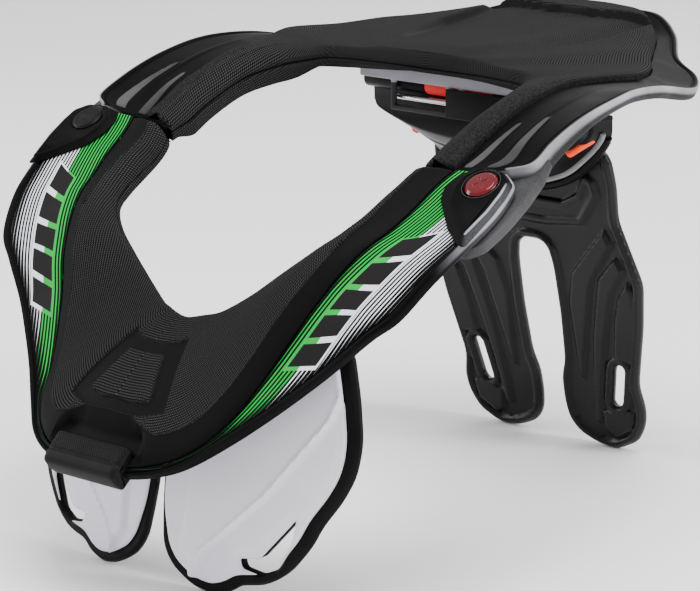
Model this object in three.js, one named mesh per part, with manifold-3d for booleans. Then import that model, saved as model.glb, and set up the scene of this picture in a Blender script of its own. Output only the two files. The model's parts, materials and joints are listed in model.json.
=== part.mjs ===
// Motocross neck brace: a ring in two halves that opens at a hinge, with chest wings and a back strut.
// Millimetres, +X the wearer's left, -Y the front, +Z up.
// Everything is laid out from the hinge line, which joins the two hinge centres.
import * as THREE from "three";
import { mergeVertices } from "three/addons/utils/BufferGeometryUtils.js";
import Module from "manifold-3d";

const wasm = await Module();
wasm.setup();

// Driving dimensions of the ring
const hingeHalf = 114;          // from the middle to a hinge centre
const frontReach = 118;         // from the hinge line forward to the rim
const frontFall = 113;          // from the hinge line down to the front rim
const rearReach = 237.6;        // from the hinge line back to the trailing edge
const rearRise = 38.2;          // from the hinge line up to the trailing edge
const standHeight = 171;        // from the floor up to the hinge line
const hingeTilt = THREE.MathUtils.degToRad(32.7);
const gap = 0.3;                // between pieces that touch

// Walls of the frame and pads
const frameWall = 5;
const lipWidth = 3;
const lipHeight = 0.8;
const seatDepth = 2.6;
const seatShare = 0.85;
const frontCrown = 7;
const rearCrown = 4.5;
const rearShelfDrop = 2;
const padWallFront = 8;
const padWallRear = 7;
const padSlack = 0.1;
const stepEase = 0.4;           // slope of the step down from the plate to the pad's seat
const underSwell = 1;           // how much lower the underside is below the pad
const neckRound = 1;            // rounding of the pad's neck edge
const overcut = 1;              // how far a cutting tool runs past what it cuts

// Hinge, cover, button and pin
const coverThick = 3.3;
const buttonRadius = 7.2;
const buttonProud = 0.9;
const buttonTravel = 2;
const pinRadius = 4;
const pinHead = 1.2;
const studRounding = 0.6;
const capSunk = 2;
const pinShort = 1;
const coverHalf = 13;
const tongueHalf = 16;
const tongueThick = 5.4;
const tongueGap = 0.4;

// Front clip
const clipHalf = 21;
const clipDeep = 13;
const clipHigh = 5;
const clipBelow = 7;
const clipAhead = 2;
const clipBevel = 2;

// Chest wings
const wingSplay = 0.146;
const wingLean = 0.187;
const wingAhead = 54;
const wingPlate = 3;
const wingEdge = 5;
const wingHalf = 89;
const wingDrop = 166;
const wingTop = 62;
const edgeProud = 5;

// Bridge behind the wings
const bridgeHalf = 44;
const bridgeThick = 9;
const bridgeBottom = 120;
const bridgeTop = 79;
const bridgeSlope = 5;

// Strut, its cradle under the rear table, and the pivot in front of it
const strutLean = 0.235;
const strutBack = 163.1;
const strutThick = 7;
const strutHalf = 62;
const slotWide = 6.4;
const slotLong = 22;
const cradleHalf = 57;
const cradleFront = 131;
const cradleTop = 11;
const cradleFrontDrop = 12;
const cradleRearDrop = 40;
const cradleTopFall = 9;
const pivotBack = 128;
const pivotUp = 11.5;
const sleeveRadius = 4.2;
const rodRadius = 1.4;
const rodUp = 5;
const rodLap = 2;
const windowInner = 5;
const windowOuter = 35.5;
const windowBottom = 1.5;
const windowRim = 2.5;
const redShare = 0.5;
const hangerTop = 19.3;
const hangerBar = 13;
const hangerThick = 2.5;
const flangeThick = 3.2;
const tabLong = 15;
const tabWide = 4.4;
const tabDeep = 5;
const tabProud = 1.5;
const tabBack = 21;

const tiltCos = Math.cos(hingeTilt);
const tiltSin = Math.sin(hingeTilt);
const tiltTan = Math.tan(hingeTilt);
const hingeNormal = new THREE.Vector3(0, -tiltSin, tiltCos);
const stepsPerRow = 2;
const roundSides = 20;

// Front half, hinge to middle: x, y, z of the rim, of the pad edge and of the neck edge.
// x is a share of hingeHalf, y of -frontReach, z of -frontFall. A z of null lies in the hinge plane.
const frontRows = [
  [[1.044, -0.075, null], [0.816, -0.064, null], [0.645, -0.06, -0.005]],
  [[1.096, -0.043, null], [0.8, -0.02, null], [0.625, -0.015, 0.035]],
  [[1.114, 0.007, null], [0.787, 0.04, null], [0.616, 0.035, 0.068]],
  [[1.118, 0.1, null], [0.777, 0.127, null], [0.61, 0.1, 0.096]],
  [[1.092, 0.237, null], [0.754, 0.22, null], [0.602, 0.195, 0.142]],
  [[1.058, 0.356, 0.252], [0.727, 0.308, 0.197], [0.579, 0.27, 0.182]],
  [[1.0, 0.462, 0.376], [0.689, 0.398, 0.279], [0.535, 0.33, 0.221]],
  [[0.912, 0.513, 0.46], [0.636, 0.487, 0.403], [0.474, 0.369, 0.274]],
  [[0.798, 0.568, 0.58], [0.579, 0.551, 0.527], [0.395, 0.394, 0.336]],
  [[0.689, 0.641, 0.686], [0.526, 0.627, 0.659], [0.307, 0.415, 0.403]],
  [[0.579, 0.725, 0.783], [0.474, 0.712, 0.779], [0.228, 0.436, 0.456]],
  [[0.474, 0.815, 0.872], [0.425, 0.805, 0.865], [0.158, 0.453, 0.496]],
  [[0.351, 0.911, 0.96], [0.333, 0.895, 0.935], [0.096, 0.468, 0.513]],
  [[0.193, 0.979, 0.996], [0.184, 0.962, 0.973], [0.044, 0.48, 0.525]],
  [[0, 1, 1], [0, 0.983, 0.978], [0, 0.483, 0.531]],
];

// Rear half, hinge to middle: the same three lines.
// x is a share of hingeHalf, y of rearReach, z of rearRise.
const rearRows = [
  [[1.026, 0.048, 0.18], [0.789, 0.043, 0.12], [0.64, 0.043, 0.05]],
  [[1.102, 0.076, 0.245], [0.787, 0.084, 0.236], [0.634, 0.076, 0.145]],
  [[1.1, 0.13, 0.408], [0.791, 0.139, 0.42], [0.636, 0.13, 0.3]],
  [[1.096, 0.189, 0.545], [0.786, 0.189, 0.54], [0.637, 0.185, 0.445]],
  [[1.093, 0.253, 0.65], [0.787, 0.244, 0.655], [0.635, 0.244, 0.563]],
  [[1.088, 0.328, 0.73], [0.787, 0.303, 0.738], [0.614, 0.299, 0.636]],
  [[1.066, 0.4, 0.757], [0.794, 0.379, 0.798], [0.579, 0.354, 0.691]],
  [[1.044, 0.492, 0.712], [0.868, 0.463, 0.812], [0.518, 0.402, 0.694]],
  [[0.987, 0.619, 0.563], [0.899, 0.522, 0.798], [0.421, 0.412, 0.702]],
  [[0.912, 0.699, 0.51], [0.833, 0.602, 0.785], [0.333, 0.417, 0.707]],
  [[0.807, 0.764, 0.55], [0.719, 0.678, 0.798], [0.246, 0.42, 0.707]],
  [[0.667, 0.804, 0.668], [0.614, 0.758, 0.812], [0.167, 0.421, 0.707]],
  [[0.524, 0.892, 0.848], [0.474, 0.859, 0.877], [0.105, 0.421, 0.707]],
  [[0.351, 0.958, 0.995], [0.316, 0.93, 0.995], [0.057, 0.421, 0.707]],
  [[0.166, 0.993, 1.0], [0.149, 0.964, 1.005], [0.026, 0.421, 0.707]],
  [[0, 1, 1], [0, 0.972, 1.008], [0, 0.421, 0.707]],
];

// White wing plate: x as a share of wingHalf, z as a share of -wingDrop
const wingOutline = [
  [0.05, 0.38], [0.05, 0.76], [0.06, 0.83], [0.11, 0.92], [0.16, 0.957], [0.27, 0.992],
  [0.37, 1], [0.44, 0.988], [0.5, 0.965], [0.64, 0.952], [0.73, 0.918], [0.82, 0.85],
  [0.86, 0.8], [0.95, 0.73], [1, 0.67], [1.01, 0.6], [0.97, 0.5], [0.9, 0.38],
];

// Strut leg: x as a share of strutHalf, z as a share of -standHeight, top middle round to the gap
const legOutline = [
  [0.78, 0.094], [0.84, 0.125], [0.86, 0.2], [0.84, 0.3], [0.91, 0.38], [1, 0.48], [0.95, 0.61],
  [0.84, 0.79], [0.88, 0.86], [0.86, 0.91], [0.77, 0.965], [0.58, 1], [0.4, 0.995],
  [0.23, 0.97], [0.14, 0.93], [0.115, 0.87], [0.12, 0.8], [0.17, 0.75], [0.19, 0.6],
  [0.18, 0.46], [0.15, 0.41], [0.08, 0.392],
];

// Slot in a foot, as shares of slotWide and slotLong from its middle
const slotOutline = [
  [-0.5, -0.42], [-0.2, -0.5], [0.3, -0.5], [0.5, -0.4], [0.5, 0.42], [0.2, 0.5], [-0.3, 0.5], [-0.5, 0.4],
];

// Hinge cover seen along the hinge axis: outward and rearward, as shares of coverHalf
const coverOutline = [
  [-0.5, 0.7], [0, 0.723], [0.462, 0.662], [0.885, 0.308], [0.985, -0.231], [1, -1.077], [0.846, -2.231],
  [0.538, -2.077], [0.092, -1.654], [-0.662, -0.923], [-0.885, -0.308], [-0.877, 0.231],
];

// Tongue of the rear half under the hinge, in the same directions, as shares of tongueHalf
const tongueOutline = [
  [0.75, 2.25], [0.969, 1.125], [1.031, 0.25], [1, -0.625], [0.844, -1.5], [0.438, -1.875], [-0.25, -1.75],
  [-0.813, -1.125], [-1, -0.25], [-1.063, 2.25],
];

const black = new THREE.MeshStandardMaterial({ color: 0x17181a, roughness: 0.45, metalness: 0 });
const foam = new THREE.MeshStandardMaterial({ color: 0x222325, roughness: 0.85, metalness: 0 });
const rubber = new THREE.MeshStandardMaterial({ color: 0x101011, roughness: 0.7, metalness: 0 });
const white = new THREE.MeshStandardMaterial({ color: 0xe6e2ea, roughness: 0.35, metalness: 0 });
const grey = new THREE.MeshStandardMaterial({ color: 0x9a989e, roughness: 0.4, metalness: 0.2 });
const red = new THREE.MeshStandardMaterial({ color: 0xb01018, roughness: 0.25, metalness: 0 });
const orange = new THREE.MeshStandardMaterial({ color: 0xf04020, roughness: 0.35, metalness: 0 });
const steel = new THREE.MeshStandardMaterial({ color: 0xc8c8cc, roughness: 0.3, metalness: 0.9 });

// Solids and booleans

function solidOf(geometry) {
  const bare = geometry.clone();
  for (const name of Object.keys(bare.attributes)) {
    if (name !== "position") bare.deleteAttribute(name);
  }
  const merged = mergeVertices(bare, 1e-4);
  return new wasm.Manifold(new wasm.Mesh({
    numProp: 3,
    vertProperties: new Float32Array(merged.attributes.position.array),
    triVerts: new Uint32Array(merged.index.array),
  }));
}

function geometryOf(solid) {
  const mesh = solid.getMesh();
  const geometry = new THREE.BufferGeometry();
  geometry.setAttribute("position", new THREE.BufferAttribute(mesh.vertProperties, 3));
  geometry.setIndex(new THREE.BufferAttribute(mesh.triVerts, 1));
  return geometry;
}

function cut(geometry, ...tools) {
  return geometryOf(tools.reduce((solid, tool) => solid.subtract(solidOf(tool)), solidOf(geometry)));
}

function join(geometry, ...others) {
  return geometryOf(others.reduce((solid, other) => solid.add(solidOf(other)), solidOf(geometry)));
}

// A section laid flat, turning anticlockwise, to fill the two ends of a loft
function flatForm(section) {
  const normal = new THREE.Vector3();
  section.forEach((p, k) => normal.add(p.clone().cross(section[(k + 1) % section.length])));
  normal.normalize();
  const across = section[1].clone().sub(section[0]).projectOnPlane(normal).normalize();
  const up = normal.clone().cross(across);
  return section.map((p) => new THREE.Vector2(p.dot(across), p.dot(up)));
}

// A closed body through equal sections
function loft(sections) {
  const count = sections[0].length;
  const points = sections.flat();
  const index = [];
  for (let row = 0; row + 1 < sections.length; row += 1) {
    for (let k = 0; k < count; k += 1) {
      const a = row * count + k;
      const b = row * count + (k + 1) % count;
      if (2 * row < sections.length - 1) index.push(a, b, b + count, a, b + count, a + count);
      else index.push(a, b, a + count, b, b + count, a + count);
    }
  }
  const last = (sections.length - 1) * count;
  for (const [i, j, k] of THREE.ShapeUtils.triangulateShape(flatForm(sections[0]), [])) {
    index.push(i, k, j, last + i, last + j, last + k);
  }
  let volume = 0;
  for (let i = 0; i < index.length; i += 3) {
    const [a, b, c] = [0, 1, 2].map((n) => points[index[i + n]]);
    volume += a.dot(b.clone().cross(c));
  }
  if (volume < 0) index.reverse();
  const geometry = new THREE.BufferGeometry();
  geometry.setAttribute("position", new THREE.Float32BufferAttribute(points.flatMap((p) => p.toArray()), 3));
  geometry.setIndex(index);
  return geometry;
}

// The same body on the other side
function mirrored(geometry) {
  const copy = geometry.clone();
  const position = copy.attributes.position;
  for (let i = 0; i < position.count; i += 1) position.setX(i, -position.getX(i));
  if (!copy.index) copy.setIndex([...Array(position.count).keys()]);
  copy.index.array.reverse();
  return copy;
}

// Ring halves

function guideLines(rows, sizes) {
  const lines = [0, 1, 2].map((line) => {
    const half = rows.map((row) => {
      const [x, y, z] = row[line];
      const along = y * sizes[1];
      const up = z === null ? along * tiltTan : z * sizes[2];
      return new THREE.Vector3(x * sizes[0], along, up);
    });
    const other = half.slice(0, -1).reverse().map((p) => new THREE.Vector3(-p.x, p.y, p.z));
    return new THREE.CatmullRomCurve3([...half, ...other], false, "catmullrom", 0.5);
  });
  return { lines, count: 2 * (rows.length - 1) * stepsPerRow };
}

// One station of a ring half: a function that places a point by its anchor, distance inward and height
function stationAt(guide, step) {
  const t = step / guide.count;
  const [rim, edge, neck] = guide.lines.map((line) => line.getPoint(t));
  const along = guide.lines[0].getTangent(t).add(guide.lines[2].getTangent(t)).normalize();
  const plate = edge.clone().sub(rim);
  const chord = neck.clone().sub(edge);
  const upright = (across) => {
    const normal = along.clone().cross(across).normalize();
    return normal.z < 0 ? normal.negate() : normal;
  };
  const plateUp = upright(plate);
  const chordUp = upright(chord);
  const edgeUp = plateUp.clone().add(chordUp).normalize();
  const lipReach = Math.min(lipWidth, 0.4 * plate.length());
  const fromRim = (share, height) => rim.clone().addScaledVector(plate, share * lipReach / plate.length())
    .addScaledVector(plateUp, height);
  const fromEdge = (inward, height) => edge.clone().addScaledVector(chord, inward / chord.length())
    .addScaledVector(edgeUp, height);
  const overPad = (share, height, inward = 0) => edge.clone()
    .addScaledVector(chord, share + inward / chord.length()).addScaledVector(chordUp, height);
  return { t, fromRim, fromEdge, overPad };
}

function ringBody(guide, section) {
  const sections = [];
  for (let step = 0; step <= guide.count; step += 1) sections.push(section(stationAt(guide, step)));
  return loft(sections);
}

// How far a station is from both hinges, 0 at a hinge and 1 past the given share of the ring
function awayFromHinge(t, share) {
  return THREE.MathUtils.smoothstep(Math.min(t, 1 - t), share * 0.6, share);
}

function frameSection(shelfDrop) {
  return ({ t, fromRim, fromEdge, overPad }) => {
    const lip = lipHeight * awayFromHinge(t, 0.2);
    return [
      fromRim(0, -frameWall), fromRim(0, lip), fromRim(1, lip), fromRim(1.2, 0),
      fromEdge(-stepEase, -shelfDrop), fromEdge(stepEase, -seatDepth - shelfDrop),
      overPad(0.5, -seatDepth - shelfDrop), overPad(seatShare, -seatDepth - shelfDrop),
      overPad(seatShare, -frameWall - shelfDrop - underSwell),
      overPad(0.4, -frameWall - shelfDrop - underSwell), fromEdge(0, -frameWall - shelfDrop),
    ];
  };
}

function padSection(crown, wall, shelfDrop) {
  return ({ t, fromEdge, overPad }) => {
    const bulge = crown * (0.6 + 0.4 * awayFromHinge(t, 0.3));
    const seat = -seatDepth - shelfDrop + gap + padSlack;
    return [
      fromEdge(2 * stepEase, seat), fromEdge(stepEase + padSlack, 2 * padSlack),
      overPad(0.1, bulge * 0.5), overPad(0.26, bulge * 0.92), overPad(0.5, bulge),
      overPad(0.75, bulge * 0.8), overPad(0.93, bulge * 0.38), overPad(1, -neckRound),
      overPad(1, -wall), overPad(0.94, -wall - 1.5 * neckRound),
      overPad(seatShare, -wall - neckRound, gap + padSlack),
      overPad(seatShare, seat, gap + padSlack), overPad(0.5, seat),
    ];
  };
}

// Everything above the underside of the front half, to trim what meets it from below
function frontEnvelope(guide) {
  const above = 30;
  const under = -frameWall - underSwell - 2 * gap;
  const lowest = -padWallFront - 1.5 * neckRound - 2 * gap;
  const section = ({ fromRim, overPad }) => [
    fromRim(-3, -frameWall - 2 * gap), fromRim(-3, above), overPad(1.1, above), overPad(1.1, lowest),
    overPad(seatShare - 0.03, lowest), overPad(seatShare - 0.06, under), overPad(0.4, under),
  ];
  return ringBody(guide, section);
}

// Plates and pins square to the hinge axis, on the wearer's left

function outlineShape(points) {
  return new THREE.Shape(points.map(([x, y]) => new THREE.Vector2(x, y)));
}

function circlePoints(radius) {
  return Array.from({ length: roundSides }, (_, k) => {
    const angle = 2 * Math.PI * k / roundSides;
    return new THREE.Vector2(radius * Math.cos(angle), radius * Math.sin(angle));
  });
}

function onHinge(geometry, height) {
  return geometry.rotateX(hingeTilt).translate(hingeHalf, 0, 0)
    .translate(hingeNormal.x * height, hingeNormal.y * height, hingeNormal.z * height);
}

function hingePlate(outline, size, low, high, holeRadius) {
  const shape = outlineShape(outline.map(([x, y]) => [x * size, y * size]));
  if (holeRadius) shape.holes.push(new THREE.Path(circlePoints(holeRadius)));
  const solid = new THREE.ExtrudeGeometry(shape, { depth: high - low, bevelEnabled: false });
  return onHinge(solid, low);
}

function hingePin(radius, low, high) {
  const solid = new THREE.CylinderGeometry(radius, radius, high - low, roundSides).rotateX(Math.PI / 2)
    .translate(0, 0, (high - low) / 2);
  return onHinge(solid, low);
}

// A stepped round piece: head on top, stem below
function hingeStud(headRadius, headLow, headHigh, stemRadius, stemLow) {
  const outline = [
    [0, stemLow], [stemRadius, stemLow], [stemRadius, headLow], [headRadius, headLow],
    [headRadius, headHigh - studRounding], [headRadius - studRounding, headHigh], [0, headHigh],
  ].map(([x, y]) => new THREE.Vector2(x, y));
  return onHinge(new THREE.LatheGeometry(outline, roundSides).rotateX(Math.PI / 2), 0);
}

// Chest wings, on the wearer's left: flat plates in a leaning, splayed plane

function wingPoint(x, z, back) {
  return new THREE.Vector3(x, wingSplay * x + wingLean * z - wingAhead + back, z);
}

function wingBody(points, front, back) {
  return loft([front, back].map((depth) => points.map(([x, z]) => wingPoint(x, z, depth))));
}

function wingPlateOutline() {
  return wingOutline.map(([x, z], row) => [x * wingHalf, row === 0 || row === wingOutline.length - 1
    ? -wingTop : -z * wingDrop]);
}

// The rubber reaches past the plate all round, apart from the top and the middle
function wingEdgeOutline() {
  const plate = wingPlateOutline();
  return plate.map(([x, z], row) => {
    if (row === 0 || row === plate.length - 1) return [row ? x + edgeProud : x, z];
    const [ax, az] = plate[row - 1];
    const [bx, bz] = plate[row + 1];
    const long = Math.hypot(bx - ax, bz - az);
    const out = Math.min(edgeProud, row < 3 ? 0.5 * edgeProud : edgeProud);
    return [x + (bz - az) / long * out, z - (bx - ax) / long * out];
  });
}

function wingSlot() {
  const slot = [
    [0.51, 0.922], [0.62, 0.915], [0.795, 0.8], [0.785, 0.86], [0.71, 0.935], [0.63, 0.955], [0.53, 0.947],
  ].map(([x, z]) => [x * wingHalf, -z * wingDrop]);
  return wingBody(slot, -overcut, wingPlate + gap + wingEdge + overcut);
}

// The bridge follows both wings in front and has one flat face to the chest
function bridgeBody() {
  const front = wingPlate + wingEdge + 2 * gap;
  const station = (x) => {
    const meet = (z) => wingPoint(Math.abs(x), -z, front).setX(x);
    const flat = (z) => wingPoint(bridgeHalf, -z, front + bridgeThick).setX(x);
    return [meet(bridgeTop), meet(bridgeBottom), flat(bridgeBottom), flat(bridgeTop - bridgeSlope)];
  };
  return loft([-bridgeHalf, 0, bridgeHalf].map(station));
}

// Clip over the middle of the front rim, square to the slope there

function clipBlock(guide, grow) {
  const { fromRim, overPad } = stationAt(guide, guide.count / 2);
  const start = fromRim(0, 0);
  const slope = overPad(1, 0).sub(start).normalize();
  const up = new THREE.Vector3(0, -slope.z, slope.y);
  const at = (x, along, height) => new THREE.Vector3(x, 0, 0).add(start)
    .addScaledVector(slope, along).addScaledVector(up, height);
  const section = (x, inset) => {
    const nose = -clipAhead - grow + inset;
    const heel = clipDeep + grow - inset;
    const top = clipHigh + grow - inset;
    const foot = -clipBelow - grow;
    return [
      at(x, nose, foot), at(x, nose, top - clipBevel), at(x, nose - inset + clipBevel, top),
      at(x, heel + inset - clipBevel, top), at(x, heel, top - clipBevel), at(x, heel, foot),
    ];
  };
  const half = clipHalf + grow;
  const inner = half - clipBevel;
  return loft([section(-half, clipBevel), section(-inner, 0), section(inner, 0), section(half, clipBevel)]);
}

// Back strut: one leaning plate with two legs and a slot in each foot

function strutY(z) {
  return strutBack - strutLean * z;
}

function leanOnStrut(geometry, front) {
  const angle = Math.atan(strutLean);
  const solid = geometry.scale(1, 1 / Math.cos(angle), 1).rotateX(Math.PI / 2);
  const position = solid.attributes.position;
  for (let i = 0; i < position.count; i += 1) {
    position.setY(i, position.getY(i) + strutY(position.getZ(i) * Math.cos(angle)) + front);
    position.setZ(i, position.getZ(i) * Math.cos(angle));
  }
  return solid;
}

function strutBody() {
  const leg = legOutline.map(([x, z]) => new THREE.Vector2(x * strutHalf, -z * standHeight));
  const other = leg.slice().reverse().map((p) => new THREE.Vector2(-p.x, p.y));
  const shape = new THREE.Shape([...leg, ...other]);
  for (const side of [1, -1]) {
    const slot = slotOutline.map(([x, z]) => {
      const across = 0.665 * strutHalf + x * slotWide + 0.2 * z * slotLong;
      return new THREE.Vector2(side * across, -0.8 * standHeight + z * slotLong);
    });
    shape.holes.push(new THREE.Path(side > 0 ? slot : slot.reverse()));
  }
  const plate = new THREE.ExtrudeGeometry(shape, { depth: strutThick, bevelEnabled: false });
  return leanOnStrut(plate, strutThick);
}

// Cradle: a solid with a round belly, from the front face back to the strut

const cradleRows = [
  [-1, 1], [-1, 0.05], [-0.95, -0.26], [-0.75, -0.6], [-0.53, -0.85], [-0.2, -1],
  [0.2, -1], [0.53, -0.85], [0.75, -0.6], [0.95, -0.26], [1, 0.05], [1, 1],
];

function cradleBody() {
  const rear = (z) => strutY(z) - gap;
  const place = (x, z, share) => {
    const drop = THREE.MathUtils.lerp(cradleFrontDrop, cradleRearDrop, share);
    const top = cradleTop - cradleTopFall * share;
    const up = z > 0 ? z * top : z * drop;
    return new THREE.Vector3(x * cradleHalf * (1 + 0.05 * share), cradleFront, up);
  };
  const front = cradleRows.map(([x, z]) => place(x, z, 0));
  const halfway = (cradleFront + strutY(0)) / 2;
  const middle = cradleRows.map(([x, z]) => place(x, z, 0.55).setY(halfway));
  const back = cradleRows.map(([x, z]) => {
    const p = place(x, z, 1);
    return p.setY(rear(p.z));
  });
  return loft([front, middle, back]);
}

function rodAlongX(radius, x0, x1, y, z) {
  return new THREE.CylinderGeometry(radius, radius, x1 - x0, roundSides).rotateZ(Math.PI / 2)
    .translate((x0 + x1) / 2, y, z);
}

// Hanger under the rear table: a bar with a window on each side, and a flange over the pivot
function hangerBody() {
  const back = pivotBack - sleeveRadius - gap;
  const left = windowInner - windowRim;
  const right = windowOuter + windowRim;
  const bottom = windowBottom - windowRim;
  const half = [
    [cradleHalf, hangerTop], [cradleHalf, hangerBar], [right, hangerBar], [right, bottom], [left, bottom],
    [left, hangerBar],
  ].map(([x, z]) => new THREE.Vector2(x, z));
  const other = half.slice().reverse().map((p) => new THREE.Vector2(-p.x, p.y));
  const shape = new THREE.Shape([...half, ...other]);
  for (const side of [1, -1]) {
    const corners = [
      [windowInner, windowBottom], [windowOuter, windowBottom],
      [windowOuter, hangerBar], [windowInner, hangerBar],
    ].map(([x, z]) => new THREE.Vector2(side * x, z));
    shape.holes.push(new THREE.Path(side > 0 ? corners : corners.reverse()));
  }
  const plate = new THREE.ExtrudeGeometry(shape, { depth: hangerThick, bevelEnabled: false })
    .rotateX(Math.PI / 2).translate(0, back, 0);
  const deep = 2 * sleeveRadius + hangerThick;
  const flange = new THREE.BoxGeometry(2 * cradleHalf, deep, flangeThick)
    .translate(0, back - hangerThick + deep / 2, hangerTop - flangeThick / 2);
  return join(plate, flange);
}

// Slider let into the flank of the cradle, on the wearer's left
function sliderBlock(grow) {
  const along = new THREE.Vector3(0.67, 0.49, 0.55).normalize();
  const outward = new THREE.Vector3(0.56, -0.37, -0.74).normalize();
  const across = outward.clone().cross(along).normalize();
  const turn = new THREE.Matrix4().makeBasis(along, across, across.clone().cross(along).negate());
  const seat = new THREE.Vector3(0.87 * cradleHalf, cradleFront + tabBack, -0.31 * cradleRearDrop)
    .addScaledVector(outward, tabProud - tabDeep / 2);
  return new THREE.BoxGeometry(tabLong + 2 * grow, tabWide + 2 * grow, tabDeep + 2 * grow)
    .applyMatrix4(turn).translate(seat.x, seat.y, seat.z);
}

// Assembly

const brace = new THREE.Group();

function add(name, geometry, material) {
  const mesh = new THREE.Mesh(geometry, material);
  mesh.name = name;
  brace.add(mesh);
  return mesh;
}

function addPair(name, geometry, material) {
  add(`${name}_left`, geometry, material);
  add(`${name}_right`, mirrored(geometry), material);
}

const frontGuide = guideLines(frontRows, [hingeHalf, -frontReach, -frontFall]);
const rearGuide = guideLines(rearRows, [hingeHalf, rearReach, rearRise]);

function buildFront() {
  const frame = ringBody(frontGuide, frameSection(0));
  const pad = ringBody(frontGuide, padSection(frontCrown, padWallFront, 0));
  const clipRoom = clipBlock(frontGuide, gap);
  const stemHole = hingePin(pinRadius + gap, -frameWall - overcut, overcut);
  add("front_frame", cut(frame, clipRoom, stemHole, mirrored(stemHole)), black);
  add("front_pad", cut(pad, clipRoom), foam);
  add("front_clip", clipBlock(frontGuide, 0), black);

  const coverLow = gap;
  const coverHigh = coverLow + coverThick;
  const cover = hingePlate(coverOutline, coverHalf, coverLow, coverHigh, buttonRadius + gap);
  addPair("hinge_cover", cover, black);
  const pinLow = -frameWall - tongueGap - tongueThick + pinShort;
  const cap = hingeStud(buttonRadius, coverHigh - capSunk, coverHigh + pinHead, pinRadius, pinLow);
  add("hinge_cap", mirrored(cap), black);
  const headLow = coverLow + buttonTravel;
  add("release_button", hingeStud(buttonRadius, headLow, coverHigh + buttonProud, pinRadius, -frameWall
    + buttonTravel + gap), red);

  const envelope = frontEnvelope(frontGuide);
  const slot = wingSlot();
  const plate = cut(wingBody(wingPlateOutline(), 0, wingPlate), envelope, slot);
  const edge = cut(wingBody(wingEdgeOutline(), wingPlate + gap, wingPlate + gap + wingEdge), envelope, slot);
  addPair("chest_wing", plate, white);
  addPair("chest_wing_edge", edge, rubber);
  add("chest_bridge", bridgeBody(), black);
}

function buildRear() {
  const frame = ringBody(rearGuide, frameSection(rearShelfDrop));
  const tongueTop = -frameWall - tongueGap;
  const tongue = hingePlate(tongueOutline, tongueHalf, tongueTop - tongueThick, tongueTop, 0);
  const pinHole = hingePin(pinRadius + gap, tongueTop - tongueThick - overcut, tongueTop + overcut);
  const whole = join(frame, tongue, mirrored(tongue));
  add("rear_frame", cut(whole, pinHole, mirrored(pinHole)), black);
  add("rear_pad", ringBody(rearGuide, padSection(rearCrown, padWallRear, rearShelfDrop)), foam);
  add("strut_hanger", hangerBody(), grey);
  const red0 = THREE.MathUtils.lerp(windowOuter, windowInner, redShare);
  addPair("pivot_sleeve", rodAlongX(sleeveRadius, red0 + gap / 2, cradleHalf, pivotBack, pivotUp), black);
  addPair("pivot_collar", rodAlongX(sleeveRadius, gap, red0 - gap / 2, pivotBack, pivotUp), red);
  const rodBack = pivotBack - sleeveRadius + rodRadius;
  const rod = rodAlongX(rodRadius, windowInner - rodLap, windowOuter + rodLap, rodBack, rodUp);
  addPair("lock_rod", rod, steel);
}

function buildStrut() {
  add("back_strut", strutBody(), black);
  const pastCradle = cradleHalf + overcut;
  const sleeveRoom = rodAlongX(sleeveRadius + gap, -pastCradle, pastCradle, pivotBack, pivotUp);
  const tabRoom = sliderBlock(gap);
  add("strut_cradle", cut(cradleBody(), sleeveRoom, tabRoom, mirrored(tabRoom)), black);
  addPair("slider_tab", sliderBlock(0), orange);
}

buildFront();
buildRear();
buildStrut();

// The origin is under the middle of the brace, on the floor
const extent = new THREE.Box3().setFromObject(brace);
brace.position.set(0, -(extent.min.y + extent.max.y) / 2, -extent.min.z);
export default brace;
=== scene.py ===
# Motocross neck brace: fine surfaces, pads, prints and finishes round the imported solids.
# Tables and sizes are in millimetres from the middle of the hinge line; meshes are in metres.
import json
import math

import bmesh
import bpy
import numpy as np
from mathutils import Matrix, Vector
from mathutils.geometry import delaunay_2d_cdt


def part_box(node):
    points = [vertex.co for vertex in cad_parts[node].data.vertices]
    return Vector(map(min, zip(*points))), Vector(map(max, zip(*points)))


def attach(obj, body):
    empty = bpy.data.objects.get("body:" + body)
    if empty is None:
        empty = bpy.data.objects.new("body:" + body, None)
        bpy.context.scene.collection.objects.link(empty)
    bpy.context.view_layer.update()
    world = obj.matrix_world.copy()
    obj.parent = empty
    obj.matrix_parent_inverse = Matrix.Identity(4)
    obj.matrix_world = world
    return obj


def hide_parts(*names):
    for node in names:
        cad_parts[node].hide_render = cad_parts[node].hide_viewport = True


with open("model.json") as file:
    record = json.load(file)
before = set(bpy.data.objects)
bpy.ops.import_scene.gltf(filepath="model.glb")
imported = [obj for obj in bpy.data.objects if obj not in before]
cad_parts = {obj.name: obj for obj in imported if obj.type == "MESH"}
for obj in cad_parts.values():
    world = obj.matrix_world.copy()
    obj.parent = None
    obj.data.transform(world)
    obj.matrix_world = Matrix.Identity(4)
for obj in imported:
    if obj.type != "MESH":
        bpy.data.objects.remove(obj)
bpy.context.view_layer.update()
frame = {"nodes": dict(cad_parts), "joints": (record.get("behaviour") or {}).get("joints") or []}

# Where the hinge is, from the joint that opens the ring
MM = 0.001
swing = next(j for j in frame["joints"] if j["name"] == "front_swing")
HINGE_HALF = -swing["pos_m"][0] / MM
HINGE_MID = np.array([0.0, swing["pos_m"][1], swing["pos_m"][2]])
TILT = math.atan2(swing["axis"][1], -swing["axis"][2])

# Ring sizes, as in the solids
FRONT_REACH = 118
FRONT_FALL = 113
REAR_REACH = 237.6
REAR_RISE = 38.2
FRAME_WALL = 5
LIP_RISE = 0.9
LIP_GROOVE = 0.45
SEAT_DEPTH = 2.6
SEAT_SHARE = 0.85
FRONT_CROWN = 7
REAR_CROWN = 4.5
SHELF_DROP = 2
PAD_WALL_FRONT = 8
PAD_WALL_REAR = 7
GAP = 0.3

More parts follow.
